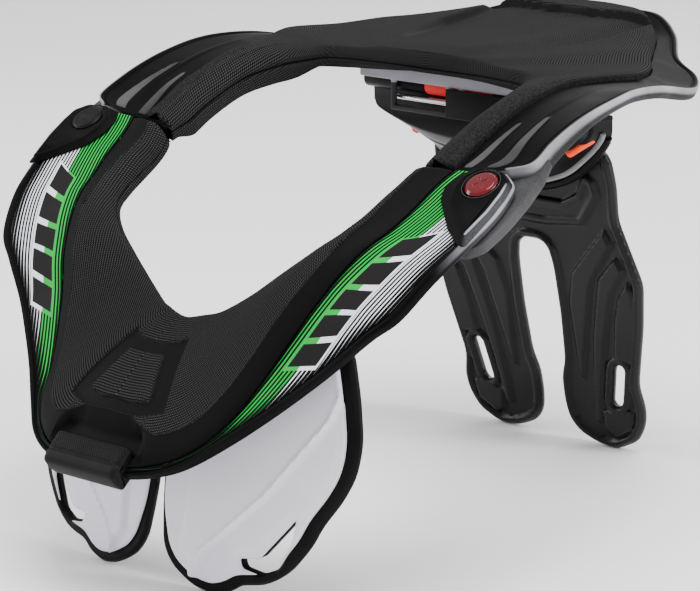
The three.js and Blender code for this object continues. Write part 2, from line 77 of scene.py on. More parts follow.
# Stations along each half, and how round the ends are
FRONT_STATIONS = 300
REAR_STATIONS = 340
PAD_STATIONS = 420
FRAME_END = 0.7
PAD_END = 2.2

# Front half, hinge to middle: x, y, z shares of the rim, the pad edge and the neck edge
FRONT_ROWS = [
    [[1.044, -0.075, None], [0.816, -0.064, None], [0.645, -0.06, -0.005]],
    [[1.096, -0.043, None], [0.8, -0.02, None], [0.625, -0.015, 0.035]],
    [[1.114, 0.007, None], [0.787, 0.04, None], [0.616, 0.035, 0.068]],
    [[1.118, 0.1, None], [0.777, 0.127, None], [0.61, 0.1, 0.096]],
    [[1.092, 0.237, None], [0.754, 0.22, None], [0.602, 0.195, 0.142]],
    [[1.058, 0.356, 0.252], [0.727, 0.308, 0.197], [0.579, 0.27, 0.182]],
    [[1.0, 0.462, 0.376], [0.689, 0.398, 0.279], [0.535, 0.33, 0.221]],
    [[0.912, 0.513, 0.46], [0.636, 0.487, 0.403], [0.474, 0.369, 0.274]],
    [[0.798, 0.568, 0.58], [0.579, 0.551, 0.527], [0.395, 0.394, 0.336]],
    [[0.689, 0.641, 0.686], [0.526, 0.627, 0.659], [0.307, 0.415, 0.403]],
    [[0.579, 0.725, 0.783], [0.474, 0.712, 0.779], [0.228, 0.436, 0.456]],
    [[0.474, 0.815, 0.872], [0.425, 0.805, 0.865], [0.158, 0.453, 0.496]],
    [[0.351, 0.911, 0.96], [0.333, 0.895, 0.935], [0.096, 0.468, 0.513]],
    [[0.193, 0.979, 0.996], [0.184, 0.962, 0.973], [0.044, 0.48, 0.525]],
    [[0, 1, 1], [0, 0.983, 0.978], [0, 0.483, 0.531]],
]

# Rear half, hinge to middle: the same three lines
REAR_ROWS = [
    [[1.026, 0.048, 0.18], [0.789, 0.043, 0.12], [0.64, 0.043, 0.05]],
    [[1.102, 0.076, 0.245], [0.787, 0.084, 0.236], [0.634, 0.076, 0.145]],
    [[1.1, 0.13, 0.408], [0.791, 0.139, 0.42], [0.636, 0.13, 0.3]],
    [[1.096, 0.189, 0.545], [0.786, 0.189, 0.54], [0.637, 0.185, 0.445]],
    [[1.093, 0.253, 0.65], [0.787, 0.244, 0.655], [0.635, 0.244, 0.563]],
    [[1.088, 0.328, 0.73], [0.787, 0.303, 0.738], [0.614, 0.299, 0.636]],
    [[1.066, 0.4, 0.757], [0.794, 0.379, 0.798], [0.579, 0.354, 0.691]],
    [[1.044, 0.492, 0.712], [0.868, 0.463, 0.812], [0.518, 0.402, 0.694]],
    [[0.987, 0.619, 0.563], [0.899, 0.522, 0.798], [0.421, 0.412, 0.702]],
    [[0.912, 0.699, 0.51], [0.833, 0.602, 0.785], [0.333, 0.417, 0.707]],
    [[0.807, 0.764, 0.55], [0.719, 0.678, 0.798], [0.246, 0.42, 0.707]],
    [[0.667, 0.804, 0.668], [0.614, 0.758, 0.812], [0.167, 0.421, 0.707]],
    [[0.524, 0.892, 0.848], [0.474, 0.859, 0.877], [0.105, 0.421, 0.707]],
    [[0.351, 0.958, 0.995], [0.316, 0.93, 0.995], [0.057, 0.421, 0.707]],
    [[0.166, 0.993, 1.0], [0.149, 0.964, 1.005], [0.026, 0.421, 0.707]],
    [[0, 1, 1], [0, 0.972, 1.008], [0, 0.421, 0.707]],
]


def length(v):
    return np.linalg.norm(v, axis=-1, keepdims=True)


def unit(v):
    return v / np.maximum(length(v), 1e-9)


def smooth(x, low, high):
    """0 below low, 1 above high, smooth between; high may be the lower one."""
    s = np.clip((np.asarray(x, float) - low) / (high - low), 0, 1)
    return s * s * (3 - 2 * s)


def cubic(a, b, c, d, w):
    """Between b and c at the share w, with a before and d after them."""
    m0, m1 = (c - a) / 2, (d - b) / 2
    return (2 * b - 2 * c + m0 + m1) * w**3 + (3 * c - 3 * b - 2 * m0 - m1) * w**2 + m0 * w + b


def spline(points, t):
    """Places at shares t along a smooth curve through the points."""
    points = np.asarray(points, float)
    padded = np.vstack([2 * points[0] - points[1], points, 2 * points[-1] - points[-2]])
    s = np.clip(t, 0, 1) * (len(points) - 1)
    i = np.minimum(s.astype(int), len(points) - 2)
    w = (s - i)[:, None]
    return cubic(padded[i], padded[i + 1], padded[i + 2], padded[i + 3], w)


def through(controls, steps):
    """Samples of a smooth line through equal arrays of control points, the last one left out."""
    padded = [2 * controls[0] - controls[1], *controls, 2 * controls[-1] - controls[-2]]
    made = []
    for k in range(len(controls) - 1):
        a, b, c, d = padded[k : k + 4]
        for w in np.arange(steps) / steps:
            made.append(cubic(a, b, c, d, w))
    return made


# Meshes


def to_row(points):
    return np.asarray(points, float) * MM + HINGE_MID


def finish_mesh(name, vertices, faces, marks=None, sharp=38):
    """A smooth-shaded object at the origin, with a float attribute for each mark."""
    mesh = bpy.data.meshes.new(name)
    mesh.from_pydata([tuple(v) for v in vertices], [], [tuple(int(i) for i in f) for f in faces])
    for mark, values in (marks or {}).items():
        attribute = mesh.attributes.new(mark, "FLOAT", "POINT")
        attribute.data.foreach_set("value", np.ascontiguousarray(values, np.float32).ravel())
    shell = bmesh.new()
    shell.from_mesh(mesh)
    bmesh.ops.recalc_face_normals(shell, faces=shell.faces)
    shell.to_mesh(mesh)
    shell.free()
    mesh.polygons.foreach_set("use_smooth", [True] * len(mesh.polygons))
    mesh.set_sharp_from_angle(angle=math.radians(sharp))
    piece = bpy.data.objects.new(name, mesh)
    bpy.context.scene.collection.objects.link(piece)
    return piece


def skin(name, sections, channels=(), extra=None, sharp=38):
    """A closed body through equal closed sections, whose columns past xyz are its marks."""
    count, around = sections.shape[:2]
    cell = np.arange((count - 1) * around).reshape(count - 1, around)
    beside = np.roll(cell, -1, axis=1)
    quads = np.stack([cell, beside, beside + around, cell + around], -1).reshape(-1, 4).tolist()
    last = (count - 1) * around
    quads.append(list(range(around))[::-1])
    quads.append(list(range(last, last + around)))
    marks = {c: sections[:, :, 3 + k] for k, c in enumerate(channels)}
    marks.update(extra or {})
    return finish_mesh(name, to_row(sections[:, :, :3].reshape(-1, 3)), quads, marks, sharp)


def filleted(corners, radii, arc=4):
    """Rounds the corners of closed sections, with all their columns; a radius of 0 keeps a corner."""
    made = []
    count = corners.shape[1]
    for j in range(count):
        p = corners[:, j]
        if radii[j] <= 0:
            made.append(p)
            continue
        back, fore = corners[:, j - 1] - p, corners[:, (j + 1) % count] - p
        back_long, fore_long = length(back[:, :3]), length(fore[:, :3])
        reach = np.minimum(radii[j], 0.45 * np.minimum(back_long, fore_long))
        a = p + back / np.maximum(back_long, 1e-6) * reach
        b = p + fore / np.maximum(fore_long, 1e-6) * reach
        for s in np.linspace(0, 1, arc):
            made.append((1 - s) ** 2 * a + 2 * s * (1 - s) * p + s**2 * b)
    return np.stack(made, 1)


def drawn_in(sections, inset):
    """Moves each section inwards in its own plane, by its own inset, to round the ends of a body."""
    xyz = sections[:, :, :3]
    area = np.cross(xyz, np.roll(xyz, -1, axis=1)).sum(axis=1)
    run = np.roll(xyz, -1, axis=1) - np.roll(xyz, 1, axis=1)
    inward = unit(np.cross(unit(area)[:, None, :], unit(run)))
    made = sections.copy()
    made[:, :, :3] += inward * np.asarray(inset)[:, None, None]
    return made


class RingHalf:
    """Rim, pad edge and neck edge of one half, at stations from the left hinge to the right one."""

    def __init__(self, rows, sizes, count, end_round):
        self.lines = []
        for line in range(3):
            half = []
            for row in rows:
                x, y, z = row[line]
                along = y * sizes[1]
                half.append([x * sizes[0], along, along * math.tan(TILT) if z is None else z * sizes[2]])
            half = np.array(half)
            self.lines.append(np.vstack([half, half[-2::-1] * [-1, 1, 1]]))
        turn = np.linspace(0, math.pi / 2, 6)
        speed = np.linalg.norm(spline(self.lines[1], np.array([0.01]))[0] - self.lines[1][0]) / 0.01
        lead = end_round * (1 - np.cos(turn)) / speed
        middle = np.linspace(lead[-1], 1 - lead[-1], count)[1:-1]
        self.t = np.concatenate([lead, middle, 1 - lead[::-1]])
        draw = end_round * (1 - np.sin(turn))
        self.inset = np.concatenate([draw, np.zeros(len(middle)), draw[::-1]])
        self.rim, self.edge, self.neck = [spline(line, self.t) for line in self.lines]
        tangents = []
        for line in (self.lines[0], self.lines[2]):
            ahead = spline(line, np.clip(self.t + 1e-4, 0, 1)) - spline(line, np.clip(self.t - 1e-4, 0, 1))
            tangents.append(unit(ahead))
        self.run = unit(tangents[0] + tangents[1])
        self.plate = self.edge - self.rim
        self.chord = self.neck - self.edge
        self.plate_long = length(self.plate)
        self.chord_long = length(self.chord)
        self.plate_up = self.upright(self.plate)
        self.chord_up = self.upright(self.chord)
        self.edge_up = unit(self.plate_up + self.chord_up)
        steps = np.linalg.norm(np.diff(self.edge, axis=0), axis=1)
        walked = np.concatenate([[0], np.cumsum(steps)])
        self.along = np.minimum(walked, walked[-1] - walked)
        self.lip = np.minimum(1, 0.4 * self.plate_long / 3)

    def upright(self, across):
        normal = unit(np.cross(self.run, across))
        return np.where(normal[:, 2:3] < 0, -normal, normal)

    def from_rim(self, inward, height):
        scaled = np.asarray(inward, float).reshape(-1, 1) * self.lip
        return self.rim + unit(self.plate) * scaled + self.plate_up * height

    def on_plate(self, share, height):
        """Between the lip's inner side at share 0 and the pad edge at share 1."""
        start = self.from_rim(PLATE_START, 0)
        return start + (self.edge - start) * share + self.plate_up * height

    def from_edge(self, inward, height):
        return self.edge + unit(self.chord) * inward + self.edge_up * np.reshape(height, (-1, 1))

    def over_pad(self, share, height, inward=0):
        share, height = [np.broadcast_to(np.ravel(v), len(self.t))[:, None] for v in (share, height)]
        return self.edge + self.chord * share + unit(self.chord) * inward + self.chord_up * height


PLATE_START = 4.3
front = RingHalf(FRONT_ROWS, (HINGE_HALF, -FRONT_REACH, -FRONT_FALL), FRONT_STATIONS, FRAME_END)
rear = RingHalf(REAR_ROWS, (HINGE_HALF, REAR_REACH, REAR_RISE), REAR_STATIONS, FRAME_END)
front_soft = RingHalf(FRONT_ROWS, (HINGE_HALF, -FRONT_REACH, -FRONT_FALL), PAD_STATIONS, PAD_END)
rear_soft = RingHalf(REAR_ROWS, (HINGE_HALF, REAR_REACH, REAR_RISE), PAD_STATIONS, PAD_END)


def assembled(half, corners, channels):
    """Sections from corners, each a place, a rounding and its marks."""
    rows = []
    for place, _rounding, marks in corners:
        columns = [np.broadcast_to(np.ravel(marks.get(c, 0.0)), len(half.t)) for c in channels]
        rows.append(np.column_stack([place, *columns]))
    sections = filleted(np.stack(rows, 1), [c[1] for c in corners])
    return drawn_in(sections, half.inset)


def over_stations(values, sections):
    return np.repeat(np.ravel(values), sections.shape[1]).reshape(sections.shape[:2])


# Frames: outer wall, rolled lip, plate with its print, seat under the pad

FRAME_MARKS = ["rim_mm", "pad_mm", "plate", "wall", "lip", "rib"]


def fascia_drop(half, extra, reach):
    """How far the outer wall hangs below the rim: deep beside the hinge, shallow further on."""
    return FRAME_WALL + extra * smooth(half.along, reach, 14)


def frame_corners(half, shelf, wall, lip_rise, ribs, cells):
    plate_long = half.plate_long[:, 0]
    lip_scale = half.lip[:, 0]

    def rim(inward, height, radius, **marks):
        marks["rim_mm"] = inward * lip_scale
        marks["pad_mm"] = plate_long - inward * lip_scale
        return (half.from_rim(inward, np.reshape(height, (-1, 1))), radius, marks)

    corners = [
        rim(1.4, -wall, 0.8, wall=1.0),
        rim(0.1, -wall + 1.2, 1.2, wall=1.0),
        rim(-0.1, lip_rise - 1.3, 0.5, wall=0.5, lip=1.0),
        rim(0.2, lip_rise, 1.0, lip=1.0),
        rim(2.5, lip_rise, 0.9),
        rim(3.1, -LIP_GROOVE, 0.3),
        rim(3.8, -LIP_GROOVE, 0.3),
        rim(PLATE_START, 0, 0.3, plate=1.0),
    ]
    inner = plate_long - PLATE_START * lip_scale
    for share in np.arange(1, cells) / cells:
        height, mark = ribs(half, share)
        height = np.reshape(height, (-1, 1)) - shelf * share
        marks = {"plate": 1.0, "rib": mark, "pad_mm": inner * (1 - share)}
        marks["rim_mm"] = plate_long - marks["pad_mm"]
        corners.append((half.on_plate(share, height), 0, marks))
    seat = -SEAT_DEPTH - shelf
    under = -FRAME_WALL - shelf
    corners += [
        (half.from_edge(-0.4, -shelf), 0.2, {"plate": 1.0, "rim_mm": plate_long}),
        (half.from_edge(0.4, seat), 0.2, {}),
        (half.over_pad(SEAT_SHARE, seat), 0.4, {}),
        (half.over_pad(SEAT_SHARE, under - 1), 0.8, {}),
        (half.over_pad(0.4, under - 1), 0.8, {}),
        (half.from_edge(0, under), 0.8, {}),
    ]
    return corners


def no_ribs(half, share):
    return np.zeros(len(half.t)), 0.0


# Wedge ribs on the rear arms: where along the arm each starts and ends, its place and width on the plate
WEDGE_RIBS = [(4, 46, 0.32, 0.42, 0.17, 1.0), (4, 40, 0.82, 0.74, 0.12, 0.8)]
FOLD_START = 12
FOLD_END = 110


def wedge_ribs(half, share):
    height = np.zeros(len(half.t))
    mark = np.zeros(len(half.t))
    for start, end, place, place_end, width, rise in WEDGE_RIBS:
        ahead = np.clip((half.along - start) / (end - start), 0, 1)
        centre = place + (place_end - place) * ahead
        half_width = width / 2 * (1 - ahead)
        inside = smooth(np.abs(share - centre), half_width + 0.045, half_width)
        inside = inside * smooth(half.along, start - 1.5, start) * smooth(half.along, end, end - 4)
        height += rise * inside
        mark = np.maximum(mark, inside)
    fold = np.exp(-(((share - 0.5) / 0.05) ** 2)) * smooth(half.along, FOLD_START, FOLD_START + 10)
    height += 0.5 * fold * smooth(half.along, FOLD_END, FOLD_END - 50)
    return height, mark


# The printed lines run past the pad edge: how far they have shifted at each length along the arm
LINE_SHIFT = [(0, 0), (20, 1.2), (45, 5), (75, 7.5), (110, 8.5), (150, 11), (190, 15)]


def frame_piece(name, half, shelf, wall, lip_rise, ribs, grey, cells):
    corners = frame_corners(half, shelf, wall, lip_rise, ribs, cells)
    sections = assembled(half, corners, FRAME_MARKS)
    along = over_stations(half.along, sections)
    shift = np.interp(half.along, *zip(*LINE_SHIFT))
    lines = sections[:, :, 4] + over_stations(shift, sections)
    # The grey mark says where the wall and lip get their painted light and painted highlight.
    extra = {"along_mm": along, "line_mm": lines, "grey": over_stations(grey, sections)}
    return skin(name, sections, FRAME_MARKS, extra)


# Pads: a smooth bevel from the plate, a textured roll, the neck wall with its seam

PAD_MARKS = ["walk_mm", "knit", "bevel", "wall"]
BEVEL_SHARE = [
    (0, 0.6), (25, 0.58), (45, 0.5), (62, 0.38), (80, 0.29), (110, 0.225), (140, 0.17),
    (160, 0.13), (180, 0.14), (188, 0.2), (196, 0.27), (215, 0.285),
]
CLIP_ROOM_HALF = 23
CLIP_ROOM_DEEP = 14

# Plain sunken band on the front pad: corners as x and distance from the pad edge
BAND_OUTER = [(-27, 21), (27, 21), (15, 60), (-15, 60)]
BAND_WIDE = 7
BAND_DEEP = 1.1


def polygon_distance(points, outline):
    """Distance from each point to a closed outline, negative inside."""
    points = np.asarray(points, float)
    outline = np.asarray(outline, float)
    best = np.full(len(points), 1e9)
    inside = np.zeros(len(points), bool)
    for a, b in zip(outline, np.roll(outline, -1, axis=0)):
        side = b - a
        share = np.clip(((points - a) @ side) / max(side @ side, 1e-9), 0, 1)
        best = np.minimum(best, np.linalg.norm(points - a - share[:, None] * side, axis=1))
        crosses = (a[1] > points[:, 1]) != (b[1] > points[:, 1])
        with np.errstate(divide="ignore", invalid="ignore"):
            reach = a[0] + (points[:, 1] - a[1]) * side[0] / side[1]
        inside ^= crosses & (points[:, 0] < reach)
    return np.where(inside, -best, best)


def front_pad_corners(half):
    chord = half.chord_long[:, 0]
    away = smooth(np.minimum(half.t, 1 - half.t), 0.18, 0.3)
    bulge = FRONT_CROWN * (0.62 + 0.38 * away)
    bevel = np.interp(half.along, *zip(*BEVEL_SHARE))
    x = half.over_pad(0, 0)[:, 0]
    room = smooth(np.abs(x), CLIP_ROOM_HALF + 4.5, CLIP_ROOM_HALF)
    foot = np.where(room > 0, room * CLIP_ROOM_DEEP / chord + (1 - room) * 0.3 * bevel, 0.3 * bevel)
    foot_high = (1 - room) * 0.42 * bulge + room * 0.2
    ridge = bulge * np.interp(bevel, [0.12, 0.3, 0.6], [0.72, 0.93, 1.0])

    def over(share, height, radius, **marks):
        return (half.over_pad(share, height), radius, marks)

    seat = -SEAT_DEPTH + GAP + 0.1
    corners = [
        (half.from_edge(0.8, seat), 0.2, {"bevel": 1.0}),
        (half.from_edge(0.5, 0.25), 0.4, {"bevel": 1.0}),
        over(foot * 0.5, foot_high * (0.5 - 0.3 * room), 0, bevel=1.0),
        over(foot, foot_high, 2.0, bevel=1.0),
        over((foot + bevel) / 2, (foot_high + ridge) / 2 + 0.3, 0, bevel=1.0),
        over(bevel, ridge, 1.2, bevel=1.0),
        over(bevel + 0.6 / chord, ridge + 0.45, 0.4, bevel=0.5),
    ]
    controls = [
        np.column_stack([bevel + 1.6 / chord, ridge + 0.5]),
        np.column_stack([bevel + 0.35 * (1 - bevel), bulge * 1.06]),
        np.column_stack([bevel + 0.62 * (1 - bevel), bulge * 0.95]),
        np.column_stack([0.94 + 0 * bevel, bulge * 0.42]),
        np.column_stack([1.0 + 0 * bevel, -1.0 + 0 * bevel]),
    ]
    for share, height in [sample.T for sample in through(controls, 16)]:
        flat = np.column_stack([x * (1 - share) + half.neck[:, 0] * share, share * chord])
        inside = -polygon_distance(flat, BAND_OUTER)
        band = smooth(inside, 0, 1.0) * smooth(inside, BAND_WIDE + 1.0, BAND_WIDE)
        corners.append(over(share, height - BAND_DEEP * band, 0, knit=1 - band, bevel=band))
    corners += [
        over(1.0, -1.0, 0, knit=1.0),
        over(1.0, -3.6, 0.5, knit=1.0),
        over(0.985, -4.1, 0.2, wall=1.0),
        over(1.0, -4.6, 0.5, knit=1.0),
        over(1.0, -PAD_WALL_FRONT, 1.4, knit=1.0),
        over(0.94, -PAD_WALL_FRONT - 1.5, 1.0, wall=1.0),
        (half.over_pad(SEAT_SHARE, -PAD_WALL_FRONT - 1, GAP + 0.1), 0.4, {"wall": 1.0}),
        (half.over_pad(SEAT_SHARE, seat, GAP + 0.1), 0.2, {"wall": 1.0}),
    ]
    return corners


# Shallow hollow in the rear pad, open towards the neck: x and y
HOLLOW = [(-50, 213), (50, 213), (48, 170), (39, 118), (-39, 118), (-48, 170)]
HOLLOW_DEEP = 3.6


def rear_pad_corners(half):
    chord = half.chord_long[:, 0]
    away = smooth(np.minimum(half.t, 1 - half.t), 0.18, 0.3)
    table = smooth(half.along, 90, 120)
    bulge = REAR_CROWN * (0.75 + 0.25 * away)
    bulge = bulge * (1 - 0.5 * smooth(half.along, 66, 100) * smooth(half.along, 175, 140))
    roll = np.minimum(7.0, 0.3 * chord) / chord
    extra = 5.0 * smooth(half.along, 4, 16) * smooth(half.along, 118, 80)
    knit_start = np.interp(half.along, [0, 60, 90, 160, 185], [0.55, 0.45, -0.1, -0.1, 0.09])

    def over(share, height, radius, **marks):
        return (half.over_pad(share, height), radius, marks)

    seat = -SEAT_DEPTH - SHELF_DROP + GAP + 0.1
    corners = [
        (half.from_edge(0.8, seat), 0.2, {}),
        (half.from_edge(0.5, 0.0), 0.4, {}),
    ]
    controls = [
        np.column_stack([0.6 / chord, 0.3 + 0 * chord]),
        np.column_stack([roll * 0.35, bulge * 0.62]),
        np.column_stack([roll, bulge * 0.95]),
        np.column_stack([roll + 0.3 * (1 - roll), bulge * 1.02]),
        np.column_stack([0.6 + 0 * roll, bulge]),
        np.column_stack([1 - 1.25 * roll, bulge * 0.9 + 0.9 * table]),
        np.column_stack([1 - 0.4 * roll, bulge * 0.45 + 2.2 * table]),
        np.column_stack([1.0 + 0 * roll, -1.4 + 1.8 * table]),
    ]
    for share, height in [sample.T for sample in through(controls, 14)]:
        flat = half.over_pad(share, 0)[:, :2]
        inside = -polygon_distance(flat, HOLLOW)
        sunk = smooth(inside, 0, 4) * smooth(flat[:, 1], 110, 175)
        knit = smooth(share, knit_start - 0.05, knit_start + 0.02)
        # Painted shade: a dark smooth ring round the hollow's walls, carried by the bevel mark, stands for
        # shade in the recess.
        wall = smooth(inside, -0.5, 1) * smooth(inside, 6, 3.5) * smooth(flat[:, 1], 112, 146)
        corners.append(over(share, height - HOLLOW_DEEP * sunk, 0, knit=knit * (1 - wall), bevel=wall))
    low = -PAD_WALL_REAR - extra + 2.8 * table
    thin = 1 - 0.35 * table
    corners += [
        over(1.0, -1.4 + 1.8 * table, 0, knit=1.0),
        over(1.0, -2.6 * thin - 0.2 * extra, 0.6, knit=1.0),
        over(1 - 0.9 / chord, -3.2 * thin - 0.2 * extra, 0.2, wall=1.0),
        over(1 + 0.2 * extra / chord, -3.8 * thin - 0.25 * extra, 0.8, knit=1.0),
        over(1 + 0.1 * extra / chord, low, 2.0, knit=1.0),
        over(0.94, low - 1.5, 1.2, wall=1.0),
        (half.over_pad(SEAT_SHARE, -PAD_WALL_REAR - 1 - 0.6 * extra, GAP + 0.1), 0.4, {"wall": 1.0}),
        (half.over_pad(SEAT_SHARE, seat, GAP + 0.1), 0.2, {"wall": 1.0}),
    ]
    return corners


def pad_piece(name, half, corners):
    sections = assembled(half, corners, PAD_MARKS)
    steps = np.linalg.norm(np.diff(sections[:, :, :3], axis=1), axis=2)
    sections[:, 1:, 3] = np.cumsum(steps, axis=1)
    return skin(name, sections, PAD_MARKS, {"along_mm": over_stations(half.along, sections)})


# Shader helpers


class Graph:
    """Adds nodes to one tree and joins them."""

    def __init__(self, tree):
        self.tree = tree

    def node(self, kind, **settings):
        made = self.tree.nodes.new(kind)
        for key, value in settings.items():
            setattr(made, key, value)
        return made

    def put(self, socket, value):
        if isinstance(value, bpy.types.NodeSocket):
            self.tree.links.new(value, socket)
        elif value is not None:
            socket.default_value = value

    def math(self, operation, *values, clamp=False):
        made = self.node("ShaderNodeMath", operation=operation, use_clamp=clamp)
        for socket, value in zip(made.inputs, values):
            self.put(socket, value)
        return made.outputs[0]

    def ramp(self, value, low, high, start=0.0, end=1.0):
        made = self.node("ShaderNodeMapRange", interpolation_type="SMOOTHSTEP")
        keys = ("Value", "From Min", "From Max", "To Min", "To Max")
        for key, given in zip(keys, (value, low, high, start, end)):
            self.put(made.inputs[key], given)
        return made.outputs["Result"]

    def mix(self, share, first, second):
        made = self.node("ShaderNodeMix", data_type="RGBA")
        self.put(made.inputs[0], share)
        self.put(made.inputs[6], first)
        self.put(made.inputs[7], second)
        return made.outputs[2]

    def noise(self, scale, detail=3.0, vector=None):
        made = self.node("ShaderNodeTexNoise")
        self.put(made.inputs["Vector"], vector or self.place())
        made.inputs["Scale"].default_value = scale
        made.inputs["Detail"].default_value = detail
        return made.outputs["Fac"]

    def place(self):
        return self.node("ShaderNodeTexCoord").outputs["Object"]

    def mark(self, name):
        made = self.node("ShaderNodeAttribute", attribute_type="GEOMETRY", attribute_name=name)
        return made.outputs["Fac"]

    def group(self, tree, **values):
        made = self.node("ShaderNodeGroup", node_tree=tree)
        for key, value in values.items():
            self.put(made.inputs[key.replace("_", " ")], value)
        return made


def new_group(name, inputs, outputs):
    tree = bpy.data.node_groups.new(name, "ShaderNodeTree")
    for title, kind, value in inputs:
        socket = tree.interface.new_socket(title, in_out="INPUT", socket_type=kind)
        socket.default_value = value
    for title, kind in outputs:
        tree.interface.new_socket(title, in_out="OUTPUT", socket_type=kind)
    graph = Graph(tree)
    start = graph.node("NodeGroupInput")
    end = graph.node("NodeGroupOutput")
    return tree, graph, start, end


FLOAT = "NodeSocketFloat"


def grain_group():
    """Moulded grain: a height and a tone that vary finely over the surface."""
    tree, g, start, end = new_group(
        "moulded grain",
        [("Scale", FLOAT, 1800.0), ("Cloud Scale", FLOAT, 25.0)],
        [("Height", FLOAT), ("Tone", FLOAT), ("Cloud", FLOAT)],
    )
    fine = g.node("ShaderNodeTexNoise")
    g.put(fine.inputs["Vector"], g.place())
    g.put(fine.inputs["Scale"], start.outputs["Scale"])
    fine.inputs["Detail"].default_value = 2.0
    cloud = g.node("ShaderNodeTexNoise")
    g.put(cloud.inputs["Vector"], g.place())
    g.put(cloud.inputs["Scale"], start.outputs["Cloud Scale"])
    cloud.inputs["Detail"].default_value = 4.0
    g.put(end.inputs["Height"], fine.outputs["Fac"])
    g.put(end.inputs["Tone"], g.ramp(fine.outputs["Fac"], 0.3, 0.7, -1.0, 1.0))
    g.put(end.inputs["Cloud"], g.ramp(cloud.outputs["Fac"], 0.35, 0.65))
    return tree


def dots_group():
    """Rows of small round knots from the two lengths over a pad."""
    tree, g, start, end = new_group(
        "knit dots",
        [("Along", FLOAT, 0.0), ("Across", FLOAT, 0.0), ("Pitch", FLOAT, 0.95), ("Slant", FLOAT, 0.0)],
        [("Dot", FLOAT)],
    )
    u = g.math("DIVIDE", start.outputs["Along"], start.outputs["Pitch"])
    v = g.math("DIVIDE", start.outputs["Across"], start.outputs["Pitch"])
    u = g.math("ADD", u, g.math("MULTIPLY", v, start.outputs["Slant"]))
    u = g.math("SUBTRACT", g.math("FRACT", u), 0.5)
    v = g.math("SUBTRACT", g.math("FRACT", v), 0.5)
    far = g.math("SQRT", g.math("ADD", g.math("MULTIPLY", u, u), g.math("MULTIPLY", v, v)))
    g.put(end.inputs["Dot"], g.ramp(far, 0.5, 0.2))
    return tree


def lines_group():
    """Printed lines with tapered ends."""
    tree, g, start, end = new_group(
        "printed lines",
        [("Across", FLOAT, 0.0), ("Pitch", FLOAT, 1.8), ("Share", FLOAT, 0.92), ("Taper", FLOAT, 1.0)],
        [("Line", FLOAT)],
    )
    ratio = g.math("DIVIDE", start.outputs["Across"], start.outputs["Pitch"])
    off = g.math("ABSOLUTE", g.math("SUBTRACT", g.math("FRACT", ratio), 0.5))
    wide = g.math("MULTIPLY", g.math("MULTIPLY", start.outputs["Share"], 0.25), start.outputs["Taper"])
    inside = g.math("SUBTRACT", wide, off)
    g.put(end.inputs["Line"], g.ramp(inside, -0.03, 0.03))
    return tree


GRAIN = grain_group()
DOTS = dots_group()
LINES = lines_group()


SHINE = 0.07


def new_material(name, roughness, **settings):
    material = bpy.data.materials.new(name)
    material.use_nodes = True
    graph = Graph(material.node_tree)
    shader = material.node_tree.nodes["Principled BSDF"]
    shader.inputs["Roughness"].default_value = roughness
    shader.inputs["Specular IOR Level"].default_value = SHINE
    for key, value in settings.items():
        shader.inputs[key.replace("_", " ")].default_value = value
    return material, graph, shader


def bump(graph, shader, height, distance, strength=0.6):
    made = graph.node("ShaderNodeBump")
    made.inputs["Strength"].default_value = strength
    made.inputs["Distance"].default_value = distance
    graph.put(made.inputs["Height"], height)
    graph.put(shader.inputs["Normal"], made.outputs["Normal"])


def grained(name, dark, light, roughness, scale=1800.0, depth=0.00006, spread=0.08, **settings):
    """A moulded plastic or rubber between two tones."""
    material, g, shader = new_material(name, roughness, **settings)
    grain = g.group(GRAIN, Scale=scale)
    tone = g.math("MULTIPLY_ADD", grain.outputs["Tone"], 0.25, grain.outputs["Cloud"], clamp=True)
    g.put(shader.inputs["Base Color"], g.mix(tone, dark, light))
    rough = g.ramp(grain.outputs["Cloud"], 0.0, 1.0, roughness - spread / 2, roughness + spread / 2)
    g.put(shader.inputs["Roughness"], rough)
    bump(g, shader, grain.outputs["Height"], depth)
    return material


GREEN = (0.008, 0.38, 0.05, 1)
PRINT_WHITE = (0.78, 0.8, 0.86, 1)
CHARCOAL = (0.014, 0.013, 0.0135, 1)
INK = (0.003, 0.0035, 0.003, 1)
GREEN_LINES_TO = 19.8
BLOCK_BAND = (13.6, 27.2)
PRINT_END = 170
BLOCKS_FROM = 50
BLOCKS_TO = 122
BLOCK_PITCH = 14.4


